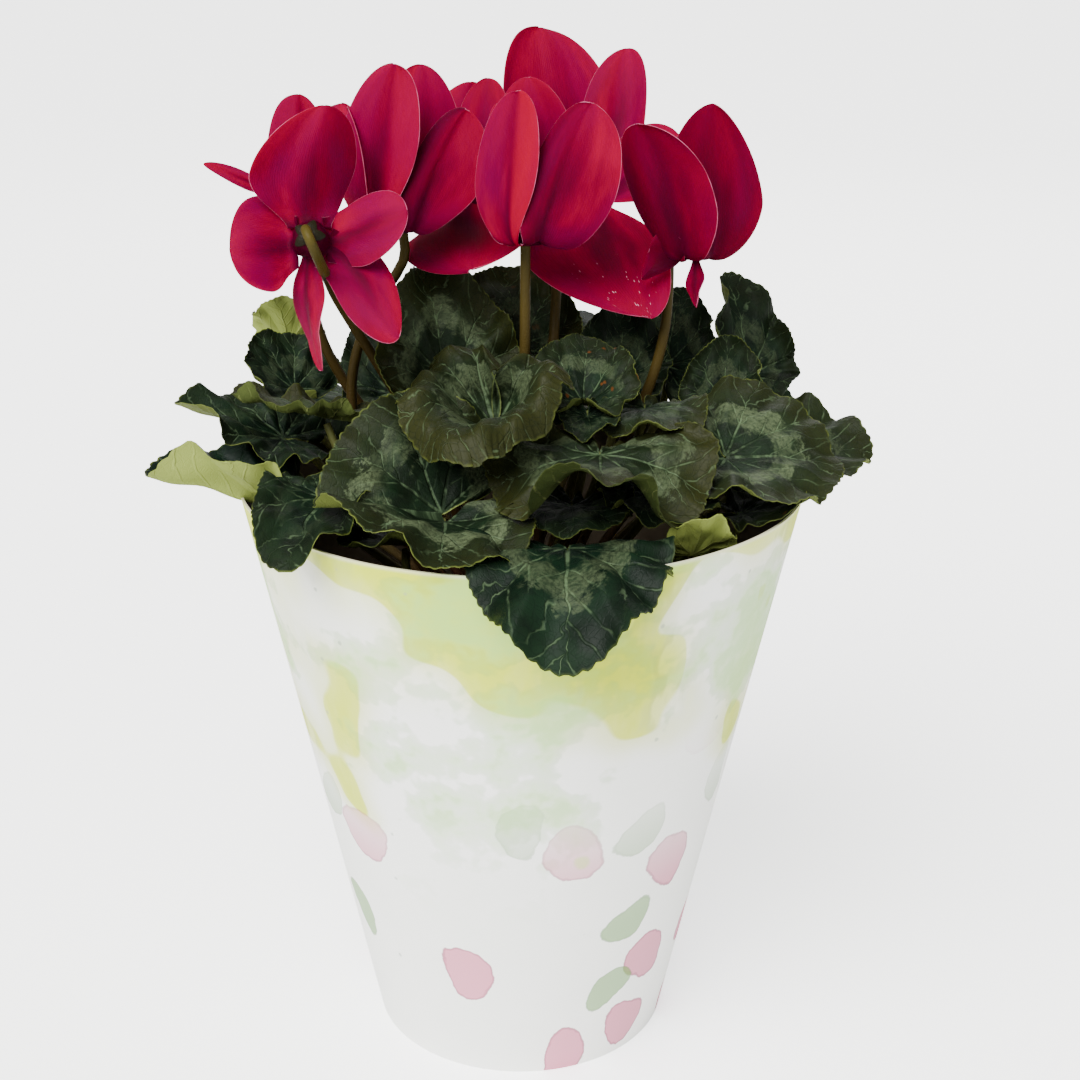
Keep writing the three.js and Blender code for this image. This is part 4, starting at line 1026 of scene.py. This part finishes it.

# %% [markdown]
# The petals are a deep magenta, close to crimson. Fine veins run lengthwise and the root is darker.
# A wandering channel down the middle is darkened as painted shade of its groove, and the very edge
# is a thin pale line that comes and goes. Some petal halves carry a painted highlight or painted
# shadow, and some whole blooms painted shade. Pollen dusts one of them. Petals scatter light inside,
# so some subsurface scattering softens their shading, and they have next to no gloss, or white light
# would dull their red.

# %% Petal finish
def petal_finish():
    material, graph, shader = finish("petal")
    u, share, seed = graph.split(graph.fact("petal"))
    width, length, _ = graph.split(graph.fact("form"))
    marked, painted_shade, painted_light_side = graph.split(graph.fact("tone"))
    flat = graph.join(graph.times(u, width), graph.times(share, length), seed)
    skin = graph.group(tissue, Vector=flat, Coarse=2.2, Fine=90.0)
    off_middle = graph.size(u)

    # lengthwise threads, a cool zone, and painted shade along the wandering channel
    fan = graph.plus(graph.times(u, graph.step(share, 0.0, 1.0, 20.0, 26.0)),
                     graph.times(graph.noise(flat, 5.0, 2.0), 1.6))
    threads = graph.step(graph.size(graph.off_whole(fan)), 0.0, 0.22, 1.0, 0.0)
    zones = graph.noise(graph.join(u, graph.times(share, 1.6), seed), 1.1, 1.0)
    aside = graph.size(graph.plus(u, graph.drift(0.9, flat, 1.7, 2.0)))
    channel = graph.times(
        graph.step(aside, 0.0, 0.42, 0.85, 0.0), graph.step(share, 0.45, 1.0, 1.0, 0.25))

    # the half with a painted highlight or painted shadow, the thin edge line, and pollen
    painted_highlight = graph.times(graph.math("MAXIMUM", painted_light_side, 0.0), graph.step(u, 0.0, 0.3))
    painted_shadow = graph.times(
        graph.math("MAXIMUM", graph.times(painted_light_side, -1.0), 0.0), graph.step(u, -0.75, 0.15, 1.0, 0.0))
    outermost = graph.math("MAXIMUM", off_middle, graph.step(share, 0.975, 1.0))
    line = graph.times(graph.step(outermost, 0.99, 0.999),
                       graph.step(graph.noise(flat, 6.0), 0.35, 0.6, 0.15, 0.6))
    pollen = graph.group(flecks, Vector=flat, Scale=26.0, Share=0.22, Size=0.26)["Mask"]
    dusty = graph.times(graph.step(share, 0.6, 0.8), graph.step(off_middle, 0.3, 0.75, 1.0, 0.0))

    graph.fill(shader, {
        "Base Color": graph.coats(
            graph.between(skin["Blotches"], 0x5C001E, 0x780024),
            (graph.step(zones, 0.4, 0.62), 0.55, 0x5A0032), (threads, 0.22, 0x4A0018),
            # painted shade along the channel down the middle
            (channel, 1, 0x3A0018), (graph.step(share, 0.0, 0.24, 0.8, 0.0), 1, 0x240010),
            # painted highlight on one petal half, then painted shadow on the other half
            (graph.step(share, 0.6, 1.0), 0.3, 0x82002A), (painted_highlight, 0.8, 0x900022),
            # painted shade darkens a whole bloom that stands in shadow
            (painted_shadow, 0.8, 0x2C0012), (painted_shade, 0.75, 0x300010), (line, 1, 0xCC7090),
            (graph.times(pollen, dusty, marked), 0.6, 0xE8A0B8)),
        "Roughness": graph.step(skin["Blotches"], 0.0, 1.0, 0.5, 0.6),
        "Specular IOR Level": 0.02,
        "Subsurface Weight": 0.2,
        "Subsurface Radius": (1.0, 0.05, 0.12),
        "Subsurface Scale": 0.002,
        "Normal": graph.bump(
            graph.plus(graph.times(threads, -0.5), graph.times(skin["Grain"], 0.25)), 0.5, 0.0002),
    })
    return material


petal_material = petal_finish()
print("petal finish:", petal_material.name)

# %% [markdown]
# The stalk rises past its bloom, hooks over and comes down on top of the tube, where five pointed
# sepals clasp it. The path runs through a few corners of the hook, rounded off. The sepals are
# small closed sheets.

# %% Stalks and sepals
STALK_RADII = (1.9, 1.4)
STALK_SIDES = 14
CROOK_REACH = 9.5
CROOK_RISE = 20
CROOK = ((1, 0), (1, 0.45), (0.88, 0.8), (0.5, 1), (0.12, 0.92), (0, 0.7), (0, 0.43))
SEPAL_START = 0.6
SEPAL_LENGTH = 4.6
SEPAL_WIDTH = 1.5
SEPAL_THICKNESS = 0.6


def sepal_grid(azimuth):
    """A pointed sepal that starts under the hook's end and hugs the tube's top."""
    t = np.linspace(0, 1, 12)[:, None]
    u = np.linspace(-1, 1, 7)[None, :]
    half = SEPAL_WIDTH * np.sin(np.pi * (0.22 + 0.76 * t)) ** 0.8
    reach = SEPAL_START + (SEPAL_LENGTH - SEPAL_START) * t + 0 * u
    height = TUBE_LENGTH + 1.0 - 1.6 * t ** 2 - 0.25 * half * u ** 2
    out, across = toward(azimuth), toward(azimuth + 90)
    return reach[..., None] * out + (half * u)[..., None] * across + height[..., None] * [0, 0, 1]


def build_stalk(name, bloom):
    """A flower stalk with its hook, and the star of sepals at its end."""
    matrix = bloom_frame(bloom)
    side = toward(bloom["stalk"])
    hook = [side * r * CROOK_REACH + np.array([0, 0, h * CROOK_RISE]) for r, h in ((1, -0.5), *CROOK)]
    start, *corners = placed(hook, matrix)
    axis = np.array(matrix)[:3, 2]
    rise = stem_path("stalk_" + name, start, axis, bloom.get("lean", (0, 0, 0)), 12)
    piece = Piece()
    piece.add_stem(rounded_path([*rise, *corners], 3), STALK_RADII, STALK_SIDES)
    for azimuth in range(0, 360, 72):
        grid = sepal_grid(azimuth)
        points, faces = closed_sheet(grid, np.full(grid.shape[:2], SEPAL_THICKNESS))
        piece.add(placed(points, matrix), faces, up=(1, 1, 0))
    return piece


stalk_material = stem_finish("flower stalk", 0x2E1E0C, 0x3C3410)
for number, (name, bloom) in enumerate(BLOOMS.items()):
    corolla = build_corolla(name, bloom, number * 7.3)
    corolla.make("flower_" + name, [petal_material], "petal", "bloom_" + name)
    build_stalk(name, bloom).make("scape_" + name, [stalk_material], "stalk", "stalk_" + name)
print("blooms made:", len(BLOOMS))

# %% [markdown]
# The sleeve is printed card, rolled into a cone and glued with a narrow overlap at the back. Thin
# card isn't a perfect cone: it ripples by a fraction of a millimetre. A grid of points round the
# axis gives that, and the overlap is a small step in its radius.

# %% Sleeve
SLEEVE_BASE_RADIUS = 50
SLEEVE_RIM_RADIUS = 90
SLEEVE_HEIGHT = 193
CARD_THICKNESS = 0.8
SLEEVE_COLUMNS = 360
SLEEVE_ROWS = 40
SEAM_AZIMUTH = math.pi / 2
SEAM_WIDTH = 0.16  # radians
SEAM_STEP = 0.5
CARD_INSET = 0.45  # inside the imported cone, so that ripple and seam don't pass it
PRINT_RADIUS = 0.07  # metres; the print is drawn as if on a flat sheet rolled to this radius


def sleeve_radius(turn, share):
    """The sleeve's outer radius, with its ripple and the step of its glued overlap."""
    plain = SLEEVE_BASE_RADIUS + (SLEEVE_RIM_RADIUS - SLEEVE_BASE_RADIUS) * share
    ripple = 0.25 * np.sin(3 * turn + 2 * share) + 0.15 * np.sin(7 * turn - 3 * share + 1)
    across = ((turn - SEAM_AZIMUTH + np.pi) % (2 * np.pi) - np.pi) / SEAM_WIDTH
    seam = smoothstep(across, -0.52, -0.46) * (1 - smoothstep(across, 0.40, 0.52))
    return plain - CARD_INSET + ripple * share + SEAM_STEP * seam


def build_sleeve():
    turn = SEAM_AZIMUTH + circle(SLEEVE_COLUMNS)[None, :]
    up_share = np.linspace(0, 1, SLEEVE_ROWS)[:, None]
    outer = sleeve_radius(turn, up_share)
    radius = np.concatenate([outer, outer[::-1] - CARD_THICKNESS])
    share = np.concatenate([up_share, up_share[::-1]]) + 0 * turn
    points = rings_about_axis(radius, turn, share * SLEEVE_HEIGHT).reshape(-1, 3)
    faces = grid_faces(2 * SLEEVE_ROWS, SLEEVE_COLUMNS, around=True)[:, ::-1]
    first = np.arange(SLEEVE_COLUMNS)
    last = first + (2 * SLEEVE_ROWS - 1) * SLEEVE_COLUMNS
    foot = np.stack([last, np.roll(last, -1), np.roll(first, -1), first], -1)
    face = np.repeat([1.0, 0.0], SLEEVE_ROWS * SLEEVE_COLUMNS)
    around = (turn - SEAM_AZIMUTH + 0 * up_share).ravel() * PRINT_RADIUS
    piece = Piece()
    piece.add(points, faces.tolist() + foot.tolist(),
              card=np.stack([np.tile(around, 2), share.ravel(), face], -1))
    return piece


print("card thickness in mm:", CARD_THICKNESS)

# %% [markdown]
# The print is loose watercolour: pale washes that run down from the rim, soft dabs like petals and
# small leaves, and a dust of fine specks. Painted water leaves a darker line where it dries, so
# the effect gives two masks: the wash itself and its rim. The pattern here is a free design made
# of noise and dabs, and it carries no lettering.

# %% The watercolour effect
def wash_effect():
    graph, given, out = effect(
        "watercolour wash", ["Vector", "Scale", "Amount", "Softness"], ["Wash", "Rim"])
    wet = graph.noise(given["Vector"], given["Scale"], 5.0, 0.6)
    level = graph.plus(wet, graph.minus(given["Amount"], 0.5))
    wash = graph.step(level, 0.5, graph.plus(0.5, given["Softness"]))
    granules = graph.noise(given["Vector"], graph.times(given["Scale"], 14.0), 3.0)
    graph.fill(out, {
        "Wash": graph.times(wash, graph.step(granules, 0.1, 0.6, 0.6, 1.0)),
        "Rim": graph.times(graph.step(level, 0.49, 0.51), graph.step(level, 0.515, 0.55, 1.0, 0.0)),
    })
    return graph.tree


def dab_effect():
    """Scattered brush dabs, longer than they are wide, each turned its own way."""
    graph, given, out = effect("brush dabs", ["Vector", "Scale", "Share", "Slimness"], ["Mask", "Rim"])
    place, scale = given["Vector"], given["Scale"]
    cell = graph.cells(place, scale, voronoi_dimensions="2D")
    graph.fill(cell.inputs, {"Randomness": 0.6})
    pick, spin, _ = graph.split(cell.outputs["Color"])
    away = graph.vector_math("SUBTRACT", place, cell.outputs["Position"])
    turned = graph.add("ShaderNodeVectorRotate", {"Vector": away, "Angle": graph.times(spin, 6.3)},
                       rotation_type="Z_AXIS").outputs[0]
    x, y, _ = graph.split(graph.scaled(turned, graph.join(scale, scale, 0.0)))
    bent = graph.plus(y, graph.times(x, x, 0.8))
    ragged = graph.times(graph.noise(place, graph.times(scale, 6.0), 3.0), 0.07)
    shape = graph.plus(graph.times(x, x), graph.times(bent, bent, given["Slimness"]))
    depth = graph.minus(0.13, graph.plus(shape, ragged))
    chosen = graph.math("LESS_THAN", pick, given["Share"])
    edge = graph.times(graph.step(depth, 0.0, 0.008), graph.step(depth, 0.01, 0.025, 1.0, 0.0))
    graph.fill(out, {"Mask": graph.times(chosen, graph.step(depth, 0.0, 0.02)),
                     "Rim": graph.times(chosen, edge)})
    return graph.tree


wash = wash_effect()
dabs = dab_effect()
print("paint effects:", [wash.name, dabs.name])

# %% Card finish
def card_finish():
    material, graph, shader = finish("printed card")
    around, up_share, face = graph.split(graph.fact("card"))
    place = graph.object_place()
    sheet = graph.join(around, graph.times(up_share, SLEEVE_HEIGHT * MM), 0.0)

    # where each coat lies: the washes come down from the rim, and the dabs stand on the lower part
    reach = graph.plus(up_share, graph.drift(1.5, sheet, 14.0, 2.0))
    high = graph.plus(graph.step(reach, 0.62, 0.98, 0.0, 0.6), graph.step(reach, 0.8, 0.815, 0.0, 0.4))
    upper = graph.step(up_share, 0.3, 0.6)
    low = graph.step(up_share, 0.3, 0.7, 1.0, 0.0)
    green = graph.group(wash, Vector=graph.scaled(sheet, (1.0, 0.4, 1.0)),
                        Scale=17.0, Amount=0.56, Softness=0.06)
    pale = graph.group(wash, Vector=graph.moved(sheet, (3.1, 0.7, 1.9)),
                       Scale=15.0, Amount=0.48, Softness=0.07)
    blush = graph.group(dabs, Vector=sheet, Scale=26.0, Share=0.5, Slimness=1.5)
    leaves = graph.group(dabs, Vector=graph.moved(sheet, (0.93, 2.21, 0.0)),
                         Scale=27.0, Share=0.45, Slimness=2.6)
    dust = graph.group(flecks, Vector=place, Scale=150.0, Share=0.1, Size=0.16)
    drops = graph.group(flecks, Vector=graph.moved(place, (5.0, 1.0, 2.0)),
                        Scale=55.0, Share=0.1, Size=0.2)

    printed = graph.coats(
        graph.between(graph.noise(place, 40.0, 3.0), 0xF0F2EC, 0xFAFAF6),
        (high, 0.95, 0xC8D400),
        (graph.times(green["Wash"], high), 0.9, 0xC0CC00), (graph.times(green["Rim"], high), 0.4, 0x8C9C10),
        (graph.times(pale["Wash"], upper), 0.7, 0x9CCC6C), (graph.times(pale["Rim"], upper), 0.25, 0x78A850),
        (graph.times(blush["Mask"], low), 0.75, 0xC02E6C), (graph.times(blush["Rim"], low), 0.7, 0x901850),
        (graph.times(leaves["Mask"], low), 0.75, 0x5C9034), (graph.times(leaves["Rim"], low), 0.5, 0x4E7838),
        (dust["Mask"], 0.55, 0x8C9A86), (drops["Mask"], 0.5, 0xB4CF5E))
    # the unprinted inner face is brown card, painted darker than bare card as the shade inside the sleeve
    both_faces = graph.mix(face, srgb(0x4E4436), printed)
    graph.fill(shader, {
        "Base Color": graph.coats(both_faces, (graph.step(up_share, 0.992, 1.0), 0.5, 0xD9D4C6)),
        "Roughness": graph.step(face, 0.0, 1.0, 0.85, 0.6),
        "Specular IOR Level": 0.3,
        "Normal": graph.bump(graph.noise(place, 900.0, 4.0, 0.7), 0.25, 0.0001),
    })
    return material


build_sleeve().make("card_sleeve", [card_finish()], "printed_card", "sleeve")
print("sleeve made")

# %% [markdown]
# Under the leaves there is potting soil: dark peat with crumbs, fibres and a few white grains. A
# rippled disc carries some four hundred small lumps. They are scattered by a seeded draw, so the
# result is the same each time. The tuber sits half out of it, flat on top and corky.

# %% Soil and tuber
SOIL_LEVEL = 109
SOIL_FLOOR = 4.9
SOIL_RIM = 63.5
SOIL_FLOOR_RADIUS = 45.5
SOIL_COLUMNS = 120
CRUMBS = 420
CRUMB_GRID = (5, 7)
WHITE_CRUMBS = 0.08  # their share
TUBER_RADIUS = 26
TUBER_HALF_HEIGHT = 13
TUBER_CENTRE = 108
TUBER_COLUMNS = 96
TUBER_TOP = ((25.8, 111), (24.6, 114.5), (22.5, 117.8), (19, 120.4), (14, 120.9), (7, 120.8), (0.4, 120.9))
draw = np.random.default_rng(11)


def soil_height(radius, turn):
    """The packed soil's lumpy surface, with finer lumps on it."""
    lumps = np.sin(3 * turn + 1) * np.cos(0.21 * radius) + 0.6 * np.sin(7 * turn + 0.13 * radius)
    fine = np.sin(0.9 * radius + 11 * turn) * np.cos(1.3 * radius - 5 * turn)
    return SOIL_LEVEL + 0.96 * lumps + 0.5 * fine - 0.4


def add_crumb(piece):
    """Adds one lump at a drawn place, with a drawn size and shape."""
    away = math.sqrt(draw.uniform(0.17, 0.92)) * (SOIL_RIM - 1)
    around = draw.uniform(0, 2 * np.pi)
    size = draw.uniform(0.5, 1.7) * np.array([1, draw.uniform(0.6, 1), draw.uniform(0.5, 0.9)])
    tilt = np.linspace(0.15, np.pi - 0.15, CRUMB_GRID[0])[:, None]
    lump = draw.uniform(0.8, 1.15, CRUMB_GRID)
    rings = rings_about_axis(lump * np.sin(tilt), circle(CRUMB_GRID[1]), lump * np.cos(tilt)) * size
    centre = (away * math.cos(around), away * math.sin(around), soil_height(away, around) + 0.2 * size[2])
    points, faces = closed_rings(rings + centre)
    white = draw.uniform() < WHITE_CRUMBS
    piece.add(points, faces, grain=(white, draw.uniform(), 0))


def build_soil():
    turn = circle(SOIL_COLUMNS)[None, :]
    radius = np.concatenate([np.linspace(0.5, SOIL_RIM, 60), [SOIL_FLOOR_RADIUS, 0.5]])[:, None]
    height = soil_height(radius, turn)
    height[0] = height[0].mean()
    height[-2:] = SOIL_FLOOR
    piece = Piece()
    piece.add(*closed_rings(rings_about_axis(radius, turn, height)), grain=(0, 0, 0))
    for _ in range(CRUMBS):
        add_crumb(piece)
    return piece


def build_tuber():
    shares = np.sin(np.linspace(0.02, np.pi / 2, 16))
    under = [(s * TUBER_RADIUS, TUBER_CENTRE - TUBER_HALF_HEIGHT * math.sqrt(1 - s * s)) for s in shares]
    profile = rounded_path([*under, *TUBER_TOP], 4)[::-1]
    turn = circle(TUBER_COLUMNS)[None, :]
    radius, height = profile[:, :1], profile[:, 1:]
    cork = 0.12 * np.sin(9 * turn + height) + 0.1 * np.sin(23 * turn - 2 * height)
    piece = Piece()
    piece.add(*closed_rings(
        rings_about_axis(radius + cork * np.minimum(1, radius / 10), turn, height + 0 * turn)))
    return piece


def earth_finish():
    material, graph, shader = finish("potting soil")
    place = graph.object_place()
    white, tone, _ = graph.split(graph.fact("grain"))
    skin = graph.group(tissue, Vector=place, Coarse=160.0, Fine=900.0)
    specks = graph.group(flecks, Vector=place, Scale=420.0, Share=0.06, Size=0.3)["Mask"]
    graph.fill(shader, {
        "Base Color": graph.coats(
            graph.between(skin["Blotches"], 0x241911, 0x46331F),
            (tone, 0.5, 0x5A4026), (graph.math("MAXIMUM", white, specks), 1, 0xC9C2B0)),
        "Roughness": 0.95,
        "Specular IOR Level": 0.2,
        "Normal": graph.bump(skin["Grain"], 0.9, 0.0008),
    })
    return material


def cork_finish():
    material, graph, shader = finish("tuber skin")
    skin = graph.group(tissue, Vector=graph.object_place(), Coarse=110.0, Fine=500.0)
    graph.fill(shader, {
        "Base Color": graph.between(skin["Blotches"], 0x4A3322, 0x74553A),
        "Roughness": 0.85,
        "Normal": graph.bump(skin["Grain"], 0.8, 0.0008),
    })
    return material


build_soil().make("soil_and_crumbs", [earth_finish()], "potting_soil", "soil")
build_tuber().make("corky_tuber", [cork_finish()], "tuber_skin", "tuber")
print("crumbs on the soil:", CRUMBS)

# %% [markdown]
# The nursery pot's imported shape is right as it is: only its lip shows, deep between card and
# leaves. It keeps its mesh and gets the finish of cheap moulded plastic, brown, slightly glossy,
# scuffed, and dusted with soil near the lip.

# %% Pot finish
def pot_finish():
    material, graph, shader = finish("pot plastic")
    place = graph.object_place()
    scuffs = graph.noise(graph.scaled(place, (60.0, 60.0, 400.0)), 1.0, 4.0, 0.6)
    earth = graph.group(flecks, Vector=place, Scale=300.0, Share=0.25, Size=0.35)["Mask"]
    near_lip = graph.step(graph.split(place)[2], 0.09, 0.12)
    graph.fill(shader, {
        "Base Color": graph.coats(graph.between(graph.step(scuffs, 0.45, 0.75), 0x8A4A2C, 0x9C6040),
                                  (earth, near_lip, 0x33241A)),
        "Roughness": graph.step(scuffs, 0.3, 0.8, 0.42, 0.62),
        "Normal": graph.bump(scuffs, 0.2, 0.0003),
    })
    return material


pot = nodes["nursery_pot"]
pot.data.materials.clear()
pot.data.materials.append(pot_finish())
print("pot finish:", pot.data.materials[0].name)
